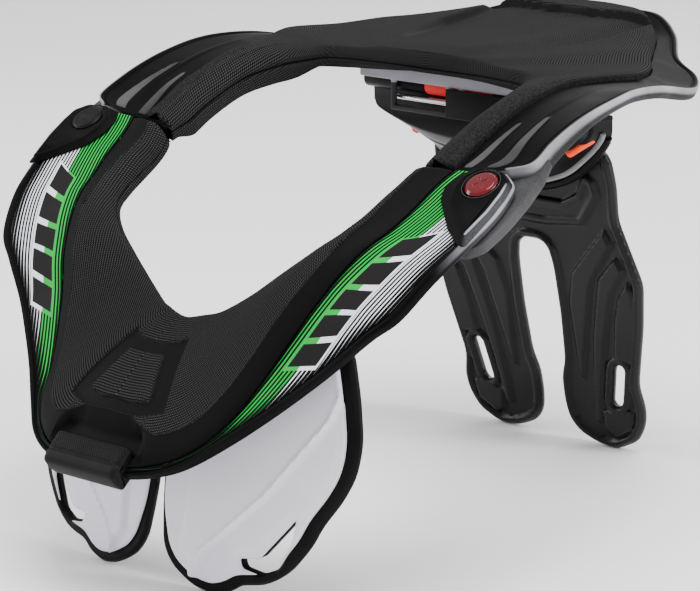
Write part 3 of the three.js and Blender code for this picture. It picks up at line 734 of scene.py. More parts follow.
def frame_material():
    """Black frame: printed plate and wedge ribs, a grey grained wall as painted light where its side
    catches the light, and a pale painted highlight on the lip.
    """
    material, g, shader = new_material("frame_plastic", 0.5, Specular_IOR_Level=0.025)
    grain = g.group(GRAIN, Scale=1500.0)
    cloud = grain.outputs["Cloud"]
    along, line, rim, pad = [g.mark(m) for m in ("along_mm", "line_mm", "rim_mm", "pad_mm")]
    base = g.mix(cloud, (0.002, 0.002, 0.0022, 1), (0.005, 0.005, 0.0053, 1))
    wall_tone = g.math("MULTIPLY_ADD", grain.outputs["Tone"], 0.35, cloud, clamp=True)
    # Painted light: where the grey mark is set, the outer wall is drawn grey for its side catching the
    # light.
    wall_painted_light = g.mix(wall_tone, (0.022, 0.022, 0.024, 1), (0.055, 0.055, 0.06, 1))
    grey = g.mark("grey")
    base = g.mix(g.math("MULTIPLY", g.mark("wall"), grey), base, wall_painted_light)
    # Painted highlight: where the grey mark is set, the rolled lip is drawn pale grey for light on its
    # edge.
    lip_painted_highlight = g.mix(cloud, (0.20, 0.20, 0.215, 1), (0.32, 0.32, 0.34, 1))
    base = g.mix(g.math("MULTIPLY", g.ramp(g.mark("lip"), 0.4, 0.9), grey), base, lip_painted_highlight)
    rib_color = g.mix(cloud, (0.035, 0.035, 0.037, 1), (0.07, 0.07, 0.074, 1))
    base = g.mix(g.ramp(g.mark("rib"), 0.35, 0.6), base, rib_color)

    taper = g.math("MULTIPLY", g.ramp(rim, 4.4, 11.0), g.ramp(pad, 0.4, 3.0))
    taper = g.math("MULTIPLY", taper, g.ramp(along, PRINT_END, PRINT_END - 18))
    taper = g.math("MULTIPLY", taper, g.mark("printed"))
    lines = g.group(LINES, Across=line, Taper=taper).outputs["Line"]
    is_white = g.ramp(line, GREEN_LINES_TO - 0.05, GREEN_LINES_TO + 0.05)
    ink_color = g.mix(is_white, GREEN, PRINT_WHITE)

    low, high = BLOCK_BAND
    in_band = g.math("MULTIPLY", g.ramp(line, low - 0.1, low + 0.1), g.ramp(line, high + 0.1, high - 0.1))
    slanted = g.math("MULTIPLY_ADD", line, 0.55, along)
    in_band = g.math("MULTIPLY", in_band, g.ramp(slanted, BLOCKS_FROM - 0.2, BLOCKS_FROM + 0.2))
    in_band = g.math("MULTIPLY", in_band, g.ramp(slanted, BLOCKS_TO + 0.2, BLOCKS_TO - 0.2))
    in_band = g.math("MULTIPLY", in_band, g.mark("printed"))
    step = g.math("FRACT", g.math("DIVIDE", g.math("SUBTRACT", slanted, BLOCKS_FROM), BLOCK_PITCH))
    bar = g.math("MULTIPLY", g.ramp(step, 0.05, 0.07), g.ramp(step, 0.86, 0.84))
    inner = g.math("MULTIPLY", g.ramp(line, low + 0.9, low + 1.1), g.ramp(line, high - 0.9, high - 1.1))
    bar = g.math("MULTIPLY", bar, inner)
    block_color = g.mix(bar, ink_color, CHARCOAL)

    ground = g.mix(g.mark("printed"), base, INK)
    printed = g.mix(lines, ground, ink_color)
    printed = g.mix(in_band, printed, block_color)
    on_plate = g.math("MULTIPLY", g.ramp(g.mark("plate"), 0.5, 0.9), g.mark("printed"))
    g.put(shader.inputs["Base Color"], g.mix(on_plate, base, printed))
    rough = g.ramp(cloud, 0.0, 1.0, 0.44, 0.56)
    g.put(shader.inputs["Roughness"], g.math("MULTIPLY_ADD", g.mark("wall"), 0.1, rough))
    depth = g.math("MULTIPLY_ADD", g.mark("wall"), 1.5, 0.35)
    bump(g, shader, g.math("MULTIPLY", grain.outputs["Height"], depth), 0.00008)
    return material


def pad_material():
    """Foam under a knit cover: dotted where it is knit, smooth and darker on the bevel; the bevel mark also
    draws painted shade round the rear hollow's walls.
    """
    material, g, shader = new_material("pad_knit", 0.8, Specular_IOR_Level=0.02)
    grain = g.group(GRAIN, Scale=1300.0, Cloud_Scale=18.0)
    marks = {"Along": g.mark("along_mm"), "Across": g.mark("walk_mm")}
    dots = g.group(DOTS, **marks, Pitch=1.3, Slant=0.5).outputs["Dot"]
    knit = g.ramp(g.mark("knit"), 0.4, 0.8)
    bevel = g.ramp(g.mark("bevel"), 0.4, 0.8)
    dot = g.math("MULTIPLY", dots, knit)
    cloth = g.mix(grain.outputs["Cloud"], (0.002, 0.002, 0.002, 1), (0.004, 0.004, 0.0042, 1))
    fluff_tone = g.math("MULTIPLY_ADD", grain.outputs["Tone"], 0.5, 0.5, clamp=True)
    fluff = g.mix(fluff_tone, (0.006, 0.006, 0.0064, 1), (0.022, 0.022, 0.023, 1))
    base = g.mix(knit, fluff, cloth)
    # The bevel colour also serves as painted shade round the rear pad's hollow.
    base = g.mix(bevel, base, (0.006, 0.006, 0.0063, 1))
    base = g.mix(dot, base, (0.042, 0.042, 0.043, 1))
    base = g.mix(g.mark("wall"), base, (0.003, 0.003, 0.003, 1))
    g.put(shader.inputs["Base Color"], base)
    g.put(shader.inputs["Roughness"], g.math("MULTIPLY_ADD", bevel, -0.3, 0.8))
    height = g.math("MULTIPLY_ADD", grain.outputs["Height"], 0.3, dot)
    bump(g, shader, height, 0.0003, 1.0)
    return material


def wing_material():
    material, g, shader = new_material("wing_plastic", 0.38)
    grain = g.group(GRAIN, Scale=2200.0, Cloud_Scale=14.0)
    pale = g.mix(grain.outputs["Cloud"], (0.66, 0.64, 0.74, 1), (0.76, 0.74, 0.82, 1))
    speck = g.math("MULTIPLY_ADD", grain.outputs["Tone"], 0.12, 0.2, clamp=True)
    base = g.mix(speck, pale, (0.9, 0.89, 0.94, 1))
    g.put(shader.inputs["Base Color"], base)
    bump(g, shader, grain.outputs["Height"], 0.00005)
    return material


frame_finish = frame_material()
pad_finish = pad_material()
wing_finish = wing_material()
black_satin = grained("black_satin", (0.002, 0.002, 0.0022, 1), (0.005, 0.005, 0.0053, 1), 0.34)
black_matte = grained(
    "black_matte", (0.002, 0.002, 0.0022, 1), (0.006, 0.006, 0.0063, 1), 0.34,
    Specular_IOR_Level=0.2, depth=0.0001,
)
edge_rubber = grained("edge_rubber", (0.002, 0.002, 0.0022, 1), (0.005, 0.005, 0.0054, 1), 0.45)
# Painted light: mid-grey that stands for light on the sides of dark plastic, used on the hinge tongues and
# the button's ring.
painted_light_grey = grained(
    "painted_light_grey", (0.022, 0.022, 0.024, 1), (0.06, 0.06, 0.064, 1), 0.5,
    depth=0.00012,
)
# Painted highlight: pale grey for light caught on a lip's edge.
lip_highlight_grey = grained("lip_highlight_grey", (0.13, 0.13, 0.14, 1), (0.24, 0.24, 0.25, 1), 0.4)
red_gloss = grained(
    "red_gloss", (0.09, 0.001, 0.004, 1), (0.15, 0.0015, 0.006, 1), 0.12,
    depth=0.00001, Coat_Weight=0.6,
)
red_collar = grained("red_collar", (0.55, 0.02, 0.02, 1), (0.72, 0.03, 0.03, 1), 0.35, depth=0.00003)
tab_orange = grained("tab_orange", (0.80, 0.06, 0.02, 1), (0.92, 0.09, 0.03, 1), 0.3, depth=0.00002)
rod_steel = grained(
    "rod_steel", (0.72, 0.72, 0.74, 1), (0.82, 0.82, 0.84, 1), 0.22,
    depth=0.00001, Metallic=1.0,
)


# Height above which the hanger is drawn pale as a painted reflection.
BAR_BOTTOM = 0.183


def hanger_material():
    """Black plastic with a painted reflection: a pale lilac-grey bar over darker window frames."""
    material, g, shader = new_material("hanger_grey", 0.42)
    grain = g.group(GRAIN, Scale=1800.0)
    # Painted reflection: the bar is pale lilac-grey for the studio reflected in glossy black plastic.
    pale = g.mix(grain.outputs["Cloud"], (0.22, 0.21, 0.24, 1), (0.31, 0.30, 0.34, 1))
    dark = g.mix(grain.outputs["Cloud"], (0.012, 0.012, 0.013, 1), (0.03, 0.03, 0.033, 1))
    split = g.node("ShaderNodeSeparateXYZ")
    g.put(split.inputs[0], g.place())
    above = g.ramp(split.outputs["Z"], BAR_BOTTOM - 0.0003, BAR_BOTTOM + 0.0003)
    g.put(shader.inputs["Base Color"], g.mix(above, dark, pale))
    bump(g, shader, grain.outputs["Height"], 0.00006)
    return material


hanger_grey = hanger_material()


def dress(piece, material, body, slot, *nodes):
    """Gives a piece its finish, the body that it rides on, and the solids that it stands for."""
    piece.data.materials.clear()
    piece.data.materials.append(material)
    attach(piece, body)
    if nodes:
        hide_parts(*nodes)
    return piece


def set_mark(piece, name, values):
    attribute = piece.data.attributes.get(name) or piece.data.attributes.new(name, "FLOAT", "POINT")
    attribute.data.foreach_set("value", np.ascontiguousarray(values, np.float32).ravel())


def count_of(piece):
    return len(piece.data.vertices)


# The ring

FASCIA_EXTRA = 4.5
FASCIA_REACH = 70
FRONT_CELLS = 16
REAR_CELLS = 44
# Painted light: share of grey wall and pale lip on the front arms, near the hinge only.
front_painted_light = smooth(front.along, 52, 30)
front_wall = FRAME_WALL + 0 * front.along
front_frame = frame_piece(
    "front_frame_shell", front, 0, front_wall, LIP_RISE, no_ribs, front_painted_light, FRONT_CELLS
)
set_mark(front_frame, "printed", np.ones(count_of(front_frame)))
rear_wall = fascia_drop(rear, FASCIA_EXTRA, FASCIA_REACH)
# Painted light: grey wall and pale lip all along the rear arms.
rear_painted_light = 1 + 0 * rear.along
rear_frame = frame_piece(
    "rear_frame_shell", rear, SHELF_DROP, rear_wall, LIP_RISE, wedge_ribs, rear_painted_light, REAR_CELLS
)
front_pad = pad_piece("front_pad_cover", front_soft, front_pad_corners(front_soft))
rear_pad = pad_piece("rear_pad_cover", rear_soft, rear_pad_corners(rear_soft))


# Cutting tools


def subtract(piece, cutter):
    """Takes the cutter's shape out of a piece and removes the cutter."""
    modifier = piece.modifiers.new("cut", "BOOLEAN")
    modifier.operation = "DIFFERENCE"
    modifier.solver = "EXACT"
    modifier.object = cutter
    evaluated = piece.evaluated_get(bpy.context.evaluated_depsgraph_get())
    mesh = bpy.data.meshes.new_from_object(evaluated)
    piece.modifiers.clear()
    piece.data = mesh
    bpy.data.objects.remove(cutter)
    return piece


def softened(piece, width, segments=3, angle=30):
    """Bevels the sharp edges for good."""
    modifier = piece.modifiers.new("round", "BEVEL")
    modifier.width = width * MM
    modifier.segments = segments
    modifier.limit_method = "ANGLE"
    modifier.angle_limit = math.radians(angle)
    modifier.harden_normals = False
    evaluated = piece.evaluated_get(bpy.context.evaluated_depsgraph_get())
    mesh = bpy.data.meshes.new_from_object(evaluated)
    piece.modifiers.clear()
    piece.data = mesh
    mesh.polygons.foreach_set("use_smooth", [True] * len(mesh.polygons))
    mesh.set_sharp_from_angle(angle=math.radians(40))
    return piece


def copy_of(node, name, width, segments=3):
    """A merged copy of a plain solid with its edges rounded."""
    mesh = frame["nodes"][node].data.copy()
    shell = bmesh.new()
    shell.from_mesh(mesh)
    bmesh.ops.remove_doubles(shell, verts=shell.verts, dist=0.00001)
    bmesh.ops.dissolve_limit(shell, angle_limit=math.radians(2), verts=shell.verts, edges=shell.edges)
    shell.to_mesh(mesh)
    shell.free()
    piece = bpy.data.objects.new(name, mesh)
    bpy.context.scene.collection.objects.link(piece)
    return softened(piece, width, segments)


# Front clip, over the middle of the rim

CLIP_HALF = 21
CLIP_HIGH = 5

# Clip section: distance along the slope, height, rounding
CLIP_SECTION = [
    (-2.0, -7.0, 1.2), (-3.0, -2.5, 2.5), (-2.6, 3.4, 2.6), (2.2, 4.4, 1.6), (3.2, 3.7, 0.4),
    (4.2, 4.4, 0.5), (11.6, 4.9, 1.4), (13.0, 2.6, 0.8), (13.0, -7.0, 0.6),
]


def clip_frame():
    middle = np.array([0.5])
    start = spline(front.lines[0], middle)[0]
    slope = unit(spline(front.lines[2], middle)[0] - spline(front.lines[1], middle)[0])
    return start, slope, np.array([0, -slope[2], slope[1]])


def clip_block(name, half_width, section, rounding):
    start, slope, up = clip_frame()
    turn = np.linspace(0, math.pi / 2, 6)
    xs = half_width - rounding + rounding * np.sin(turn)
    middle = np.linspace(-half_width + rounding, half_width - rounding, 40)[1:-1]
    xs = np.concatenate([-xs[::-1], middle, xs])
    inset = rounding * (1 - np.cos(turn))
    inset = np.concatenate([inset[::-1], np.zeros(len(middle)), inset])
    corners = []
    for along, height, _rounding in section:
        place = start + slope * along + up * height
        corners.append(np.column_stack([xs, np.full(len(xs), place[1]), np.full(len(xs), place[2])]))
    sections = filleted(np.stack(corners, 1), [r for _, _, r in section])
    sections = drawn_in(sections, inset)
    marks = {"grip": ((sections - start) @ up > CLIP_HIGH - 1.4) & ((sections - start) @ slope > 3.6)}
    marks["along_mm"] = sections[:, :, 0]
    marks["across_mm"] = (sections - start) @ slope
    return skin(name, sections, extra=marks)


def clip_material():
    material, g, shader = new_material("clip_rubber", 0.5)
    grain = g.group(GRAIN, Scale=1500.0)
    marks = {"Along": g.mark("along_mm"), "Across": g.mark("across_mm")}
    dots = g.group(DOTS, **marks, Pitch=1.15, Slant=0.5).outputs["Dot"]
    sunk = g.math("MULTIPLY", dots, g.mark("grip"))
    base = g.mix(grain.outputs["Cloud"], (0.004, 0.004, 0.0042, 1), (0.009, 0.009, 0.0095, 1))
    # Painted shade: the grip's sunk dots are drawn darker than the rubber round them.
    g.put(shader.inputs["Base Color"], g.mix(sunk, base, (0.003, 0.003, 0.003, 1)))
    height = g.math("MULTIPLY_ADD", grain.outputs["Height"], 0.25, g.math("MULTIPLY", sunk, -1.0))
    bump(g, shader, height, 0.0003, 0.9)
    return material


front_clip = clip_block("front_clip_body", CLIP_HALF, CLIP_SECTION, 2.4)


# Hinges


def on_hinge(points, height, side=1):
    """Outward and rearward lengths in the hinge plane, at a height over it."""
    points = np.asarray(points, float)
    p, q = points[..., 0], points[..., 1]
    y = q * math.cos(TILT) - height * math.sin(TILT)
    z = q * math.sin(TILT) + height * math.cos(TILT)
    return np.stack([side * (HINGE_HALF + p), y + 0 * p, z + 0 * p], -1)


def rounded_outline(points, radii, arc=5):
    flat = np.column_stack([np.asarray(points, float), np.zeros(len(points))])[None]
    return filleted(flat, [radii] * len(points) if np.isscalar(radii) else radii, arc)[0, :, :2]


def stacked(name, tiers, side, channels=()):
    """A plate in the hinge plane: each tier is an outline, its height and its marks."""
    rows = []
    for outline, height, marks in tiers:
        columns = [np.broadcast_to(marks.get(c, 0.0), len(outline)) for c in channels]
        rows.append(np.column_stack([on_hinge(outline, height, side), *columns]))
    return skin(name, np.stack(rows), channels, sharp=30)


def inset_outline(outline, by):
    ahead = np.roll(outline, -1, axis=0) - np.roll(outline, 1, axis=0)
    area = np.sum(outline[:, 0] * np.roll(outline[:, 1], -1) - outline[:, 1] * np.roll(outline[:, 0], -1))
    inward = unit(np.column_stack([-ahead[:, 1], ahead[:, 0]])) * np.sign(area)
    return outline + inward * by


COVER_TOP = [
    (-6.5, 9.1), (0, 9.4), (6, 8.6), (11.5, 4), (12.8, -3), (13, -14), (11, -29),
    (7, -27), (1.2, -21.5), (-8.6, -12), (-11.5, -4), (-11.4, 3),
]
COVER_BASE = [
    (-11.5, 9.3), (0, 9.6), (6.4, 9.0), (12.4, 4.4), (13.8, -3), (14, -14), (12.6, -32.5),
    (8.7, -32.5), (-1.8, -24.6), (-15.6, -9.6), (-17.9, -3.9), (-16.2, 5.5),
]
COVER_HIGH = 3.6
BUTTON_RADIUS = 7.2
FAR_BASE = [
    (-11.0, 9.3), (0, 9.6), (6.4, 9.0), (12.4, 4.4), (13.8, -3), (14, -14), (13.0, -31),
    (8.4, -29.5), (0.2, -22.8), (-10.6, -13.4), (-14.4, -4.6), (-14.0, 4.0),
]


def hinge_cover(name, side, base_points):
    base = rounded_outline(base_points, 1.5)
    top = rounded_outline(COVER_TOP, 1.5)
    # Painted light: the cover's outer end gets the frame finish's grey wall and pale lip highlight.
    lit_outer_side = smooth(top[:, 0], 9.0, 11.0) * smooth(top[:, 1], 6, 0)
    channels = ["wall", "lip"]
    tiers = [
        (inset_outline(base, 0.3), GAP, {"wall": lit_outer_side}),
        (base, GAP + 0.4, {"wall": lit_outer_side}),
        (inset_outline(base, 0.1), GAP + 0.8, {"wall": lit_outer_side}),
        (top, COVER_HIGH - 0.9, {"wall": lit_outer_side}),
        (inset_outline(top, 0.25), COVER_HIGH - 0.3, {"lip": lit_outer_side}),
        (inset_outline(top, 0.8), COVER_HIGH, {"lip": lit_outer_side}),
        (inset_outline(top, 1.5), COVER_HIGH, {}),
        (inset_outline(top, 1.9), COVER_HIGH - 0.15, {}),
    ]
    cover = stacked(name, tiers, side, channels)
    # Painted light: the grey mark turns on the grey wall and pale lip colours at the outer end.
    set_mark(cover, "grey", np.ones(count_of(cover)))
    radius = BUTTON_RADIUS + GAP
    turn = np.linspace(0, 2 * math.pi, 65)[:-1]
    circle = np.column_stack([np.cos(turn), np.sin(turn)])
    hole = [
        (circle * radius, -1, {}), (circle * radius, COVER_HIGH - 1.1, {}),
        (circle * (radius + 0.9), COVER_HIGH - 0.1, {}), (circle * (radius + 1.0), COVER_HIGH + 1, {}),
    ]
    return subtract(cover, stacked("hole", hole, side))


def polar_cap(name, side, radius, rise, relief, low, rings=26, spokes=96):
    """A round cap with a relief, from its rim down to a flat underside."""
    angles = np.linspace(0, 2 * math.pi, spokes + 1)[:-1]
    tiers = []
    for share in np.linspace(0.03, 1, rings):
        outline = share * radius * np.column_stack([np.cos(angles), np.sin(angles)])
        height = rise + relief(outline, share)
        tiers.append(on_hinge(outline, height, side))
    rim = radius * np.column_stack([np.cos(angles), np.sin(angles)])
    tiers.append(on_hinge(rim * 1.0, rise - 1.0, side))
    tiers.append(on_hinge(rim * 0.98, low, side))
    return skin(name, np.stack(tiers))


def button_relief(points, share):
    """A domed button with four shallow lobes round a sunken cross."""
    u = (points[:, 0] + points[:, 1]) / math.sqrt(2)
    v = (points[:, 0] - points[:, 1]) / math.sqrt(2)
    arm = np.minimum(np.abs(u), np.abs(v))
    cross = smooth(arm, 0.75, 0.35) * smooth(np.maximum(np.abs(u), np.abs(v)), 3.6, 3.0)
    dome = -0.9 * share**2 * 0.4 - 0.9 * smooth(share, 0.82, 1.0)
    return dome - 0.35 * cross


def cap_relief(points, share):
    ribs = 0.14 * (0.5 + 0.5 * np.cos(points[:, 1] * 2 * math.pi / 1.1)) * smooth(share, 0.86, 0.8)
    return ribs - 0.7 * smooth(share, 0.86, 1.0)


TONGUE = [
    (12, 30), (15.5, 18), (16.5, 4), (16, -10), (13.5, -24), (7, -30), (-4, -28),
    (-13, -18), (-16, -4), (-17, 30),
]
TONGUE_TOP = -FRAME_WALL - 0.4
TONGUE_THICK = 5.4


def hinge_tongue(name, side):
    outline = rounded_outline(TONGUE, 3.0)
    low = TONGUE_TOP - TONGUE_THICK
    tiers = [
        (inset_outline(outline, 1.2), low, {}), (inset_outline(outline, 0.3), low + 0.5, {}),
        (outline, low + 1.4, {}), (outline, TONGUE_TOP - 1.1, {}),
        (inset_outline(outline, 0.3), TONGUE_TOP - 0.3, {}), (inset_outline(outline, 1.0), TONGUE_TOP, {}),
    ]
    return stacked(name, tiers, side)


cover_left = hinge_cover("hinge_cover_left_plate", 1, COVER_BASE)
cover_right = hinge_cover("hinge_cover_right_plate", -1, FAR_BASE)
button_high, button_low = COVER_HIGH + 0.9, COVER_HIGH - 1.3
button = polar_cap("release_button_head", 1, BUTTON_RADIUS, button_high, button_relief, button_low)
cap = polar_cap("hinge_cap_head", -1, BUTTON_RADIUS, COVER_HIGH + 0.5, cap_relief, COVER_HIGH - 1.5)
tongue_left = hinge_tongue("hinge_tongue_left", 1)
tongue_right = hinge_tongue("hinge_tongue_right", -1)


# Flat pieces with relief, and how far apart their points lie

WING_PITCH = 1.2
RUBBER_PITCH = 1.8
STRUT_PITCH = 1.15


def even_outline(points, pitch, radius=1.5):
    """A rounded closed outline with points at an even pitch."""
    curve = rounded_outline(points, radius, 4)
    ring = np.vstack([curve, curve[:1]])
    walked = np.concatenate([[0], np.cumsum(np.linalg.norm(np.diff(ring, axis=0), axis=1))])
    count = max(int(walked[-1] / pitch), 8)
    at = np.linspace(0, walked[-1], count + 1)[:-1]
    return np.column_stack([np.interp(at, walked, ring[:, k]) for k in (0, 1)])


def panel(name, outline, holes, pitch, front_depth, back_depth, place):
    """A plate with relief on both faces: depths are functions of flat points and their distance inside."""
    rings = [outline, *holes]
    points = [np.vstack(rings)]
    low, high = outline.min(0), outline.max(0)
    columns = np.arange(low[0], high[0], pitch)
    for row, z in enumerate(np.arange(low[1], high[1], pitch * 0.866)):
        points.append(np.column_stack([columns + (row % 2) * pitch / 2, np.full(len(columns), z)]))
    for step in (0.35, 0.9, 1.6):
        points += [inset_outline(outline, step)]
        points += [inset_outline(hole, -step) for hole in holes]

    def inside_by(where):
        away = -polygon_distance(where, outline)
        for hole in holes:
            away = np.minimum(away, polygon_distance(where, hole))
        return away

    loose = np.vstack(points[1:])
    loose = loose[inside_by(loose) > 0.3]
    flat = np.vstack([points[0], loose])
    edges = []
    start = 0
    for ring in rings:
        edges += [(start + k, start + (k + 1) % len(ring)) for k in range(len(ring))]
        start += len(ring)
    made = delaunay_2d_cdt([Vector(p) for p in flat], edges, [], 0, 1e-4)
    verts = np.array([tuple(v) for v in made[0]])
    faces = np.array([f for f in made[2]])
    middle = verts[faces].mean(axis=1)
    faces = faces[inside_by(middle) > 0]
    used = np.unique(faces)
    lookup = np.full(len(verts), -1)
    lookup[used] = np.arange(len(used))
    verts, faces = verts[used], lookup[faces]
    away = np.maximum(inside_by(verts), 0)
    count = len(verts)
    vertices = np.vstack([place(verts, front_depth(verts, away)), place(verts, back_depth(verts, away))])
    all_faces = [tuple(f) for f in faces] + [tuple(f[::-1] + count) for f in faces]
    counted = {}
    for face in faces:
        for a, b in zip(face, np.roll(face, -1)):
            counted[(a, b)] = True
    for a, b in counted:
        if (b, a) not in counted:
            all_faces.append((b, a, a + count, b + count))
    return finish_mesh(name, to_row(vertices), all_faces, sharp=50)


# Chest wings: x and z shares of the half width and the drop

WING_SPLAY = 0.146
WING_LEAN = 0.187
WING_AHEAD = 54
WING_PLATE = 3
WING_EDGE = 5
WING_HALF = 89
WING_DROP = 166
WING_TOP = 62
WING_OUTLINE = [
    (0.05, 0.38), (0.05, 0.76), (0.06, 0.83), (0.11, 0.92), (0.16, 0.957), (0.27, 0.992),
    (0.37, 1), (0.44, 0.988), (0.5, 0.965), (0.64, 0.952), (0.73, 0.918), (0.82, 0.85),
    (0.86, 0.8), (0.95, 0.73), (1, 0.67), (1.01, 0.6), (0.97, 0.5), (0.9, 0.38),
]
WING_SLOT = [
    (0.51, 0.922), (0.62, 0.915), (0.795, 0.8), (0.785, 0.86), (0.71, 0.935), (0.63, 0.955), (0.53, 0.947),
]
WING_CREASE = [
    (0.28, 0.976), (0.29, 0.949), (0.32, 0.919), (0.46, 0.848), (0.64, 0.752), (0.793, 0.645),
    (0.938, 0.543), (0.99, 0.45),
]
WING_BEVEL = [(0.235, 0.4), (0.219, 0.737), (0.215, 0.838), (0.205, 0.917), (0.222, 0.931), (0.26, 0.945)]
EDGE_PROUD = 5


def in_wing(shares):
    return np.array([(x * WING_HALF, -z * WING_DROP) for x, z in shares])


def wing_place(side):
    def place(flat, depth):
        y = WING_SPLAY * flat[:, 0] + WING_LEAN * flat[:, 1] - WING_AHEAD + depth
        return np.column_stack([side * flat[:, 0], y, flat[:, 1]])

    return place


def line_at(line, z):
    """x of a falling line at a height z."""
    ordered = line[np.argsort(line[:, 1])]
    return np.interp(z, ordered[:, 1], ordered[:, 0])


def wing_front(flat, away):
    crease = line_at(in_wing(WING_CREASE), flat[:, 1])
    bevel = line_at(in_wing(WING_BEVEL), flat[:, 1])
    depth = 1.5 * smooth(crease - flat[:, 0], 1.1, -1.1)
    depth -= 0.8 * np.exp(-((crease - flat[:, 0] - 1.2) ** 2) / 1.6)
    depth += 1.9 * smooth(bevel - flat[:, 0], -0.6, 3.2)
    depth += 0.5 * smooth(away, 3.4, 2.6) * smooth(flat[:, 0], 30, 44)
    return depth + 1.0 * smooth(away, 0.9, 0) ** 2


def rubber_front(flat, away):
    return WING_PLATE + GAP + 1.6 * smooth(away, 1.8, 0) ** 2


def rubber_back(flat, away):
    return WING_PLATE + GAP + WING_EDGE - 1.6 * smooth(away, 1.8, 0) ** 2


def wing_outlines():
    plate = in_wing(WING_OUTLINE)
    plate[0, 1] = plate[-1, 1] = -WING_TOP
    rubber = []
    for k, (x, z) in enumerate(plate):
        if k in (0, len(plate) - 1):
            rubber.append((x + (EDGE_PROUD if k else 0), z))
            continue
        run = unit(plate[k + 1] - plate[k - 1])
        out = EDGE_PROUD if k > 2 else 0.5 * EDGE_PROUD
        rubber.append((x + run[1] * out, z - run[0] * out))
    return plate, np.array(rubber)


plate_outline, rubber_outline = wing_outlines()
slot_line = even_outline(in_wing(WING_SLOT), 0.8, 1.6)
plate_line = even_outline(plate_outline, 1.0, 5)
rubber_line = even_outline(rubber_outline, 1.0, 5)
wing_pieces = []
for side, word in ((1, "left"), (-1, "right")):
    place = wing_place(side)
    plate = panel(
        f"chest_wing_{word}_plate", plate_line, [slot_line], WING_PITCH, wing_front,
        lambda flat, away: WING_PLATE - 0.6 * smooth(away, 0.7, 0), place,
    )
    rubber = panel(
        f"chest_wing_{word}_edge", rubber_line, [slot_line], RUBBER_PITCH, rubber_front,
        rubber_back, place,
    )
    wing_pieces.append((word, plate, rubber))


# Back strut: shares of the half width and the height

STRUT_LEAN = 0.235
STRUT_BACK = 163.1
STRUT_THICK = 7
STRUT_HALF = 62
STAND = 171
LEG_OUTLINE = [
    (0.78, 0.094), (0.84, 0.125), (0.86, 0.2), (0.84, 0.3), (0.91, 0.38), (1, 0.48), (0.95, 0.61),
    (0.84, 0.79), (0.88, 0.86), (0.86, 0.91), (0.77, 0.965), (0.58, 1), (0.4, 0.995),
    (0.23, 0.97), (0.14, 0.93), (0.115, 0.87), (0.12, 0.8), (0.17, 0.75), (0.19, 0.6),
    (0.18, 0.46), (0.15, 0.41), (0.08, 0.392),
]
LEG_SLOT = [
    (-0.5, -0.42), (-0.2, -0.5), (0.3, -0.5), (0.5, -0.4),
    (0.5, 0.42), (0.2, 0.5), (-0.3, 0.5), (-0.5, 0.4),
]
SLOT_WIDE = 6.4
SLOT_LONG = 22

# Raised bands on a leg, each a closed outline in shares
LEG_BANDS = [
    [(0.72, 0.33), (0.78, 0.375), (0.57, 0.478), (0.52, 0.52), (0.345, 0.8), (0.315, 0.8), (0.3, 0.57),
     (0.36, 0.475), (0.42, 0.45)],
    [(0.79, 0.408), (0.86, 0.447), (0.72, 0.52), (0.62, 0.655), (0.545, 0.775), (0.475, 0.925),
     (0.41, 0.925), (0.43, 0.83), (0.49, 0.665), (0.56, 0.555), (0.61, 0.48)],
    [(0.87, 0.478), (0.92, 0.5), (0.93, 0.56), (0.83, 0.725), (0.665, 0.715), (0.72, 0.595), (0.78, 0.525)],
]
YOKE_BANDS = [
    [(-0.5, 0.235), (-0.36, 0.262), (0.36, 0.262), (0.5, 0.235), (0.6, 0.17), (0.68, 0.19), (0.71, 0.235),
     (0.53, 0.325), (0.18, 0.34), (-0.18, 0.34), (-0.53, 0.325), (-0.71, 0.235), (-0.68, 0.19),
     (-0.6, 0.17)],
]
FOOT_BAND = [(0.49, 0.885), (0.79, 0.87), (0.76, 0.93), (0.6, 0.965), (0.5, 0.945)]


def in_strut(shares):
    return np.array([(x * STRUT_HALF, -z * STAND) for x, z in shares])


def strut_place(flat, depth):
    return np.column_stack([flat[:, 0], STRUT_BACK - STRUT_LEAN * flat[:, 1] + depth, flat[:, 1]])


def strut_relief(flat, away):
    """How far the leg's skin rises over its floor."""
    mirrored = np.column_stack([np.abs(flat[:, 0]), flat[:, 1]])
    rise = 2.0 * smooth(away, 4.6, 3.2)
    for band in LEG_BANDS + [FOOT_BAND]:
        rise = np.maximum(rise, 2.0 * smooth(-polygon_distance(mirrored, in_strut(band)), -0.6, 1.0))
    for band in YOKE_BANDS:
        inside = -polygon_distance(flat, in_strut(band))
        rise = np.maximum(rise, 2.2 * smooth(inside, -0.6, 1.2) - 1.4 * smooth(inside, 2.6, 4.2))
    return rise


def strut_front(flat, away):
    return 2.4 - strut_relief(flat, away) + 2.0 * smooth(away, 2.0, 0) ** 2


def strut_back(flat, away):
    return STRUT_THICK - 1.2 + 0.5 * strut_relief(flat, away) - 2.2 * smooth(away, 2.0, 0) ** 2


def strut_piece():
    leg = in_strut(LEG_OUTLINE)
    outline = np.vstack([leg, leg[::-1] * [-1, 1]])
    slots = []
    for side in (1, -1):
        points = []
        for x, z in LEG_SLOT:
            across = 0.665 * STRUT_HALF + x * SLOT_WIDE + 0.2 * z * SLOT_LONG
            points.append((side * across, -0.8 * STAND + z * SLOT_LONG))
        slots.append(even_outline(np.array(points), 0.8, 1.2))
    edge = even_outline(outline, 1.0, 4)
    return panel("back_strut_shell", edge, slots, STRUT_PITCH, strut_front, strut_back, strut_place)


back_strut = strut_piece()


# Cradle: a belly between the pivot in front and the strut behind

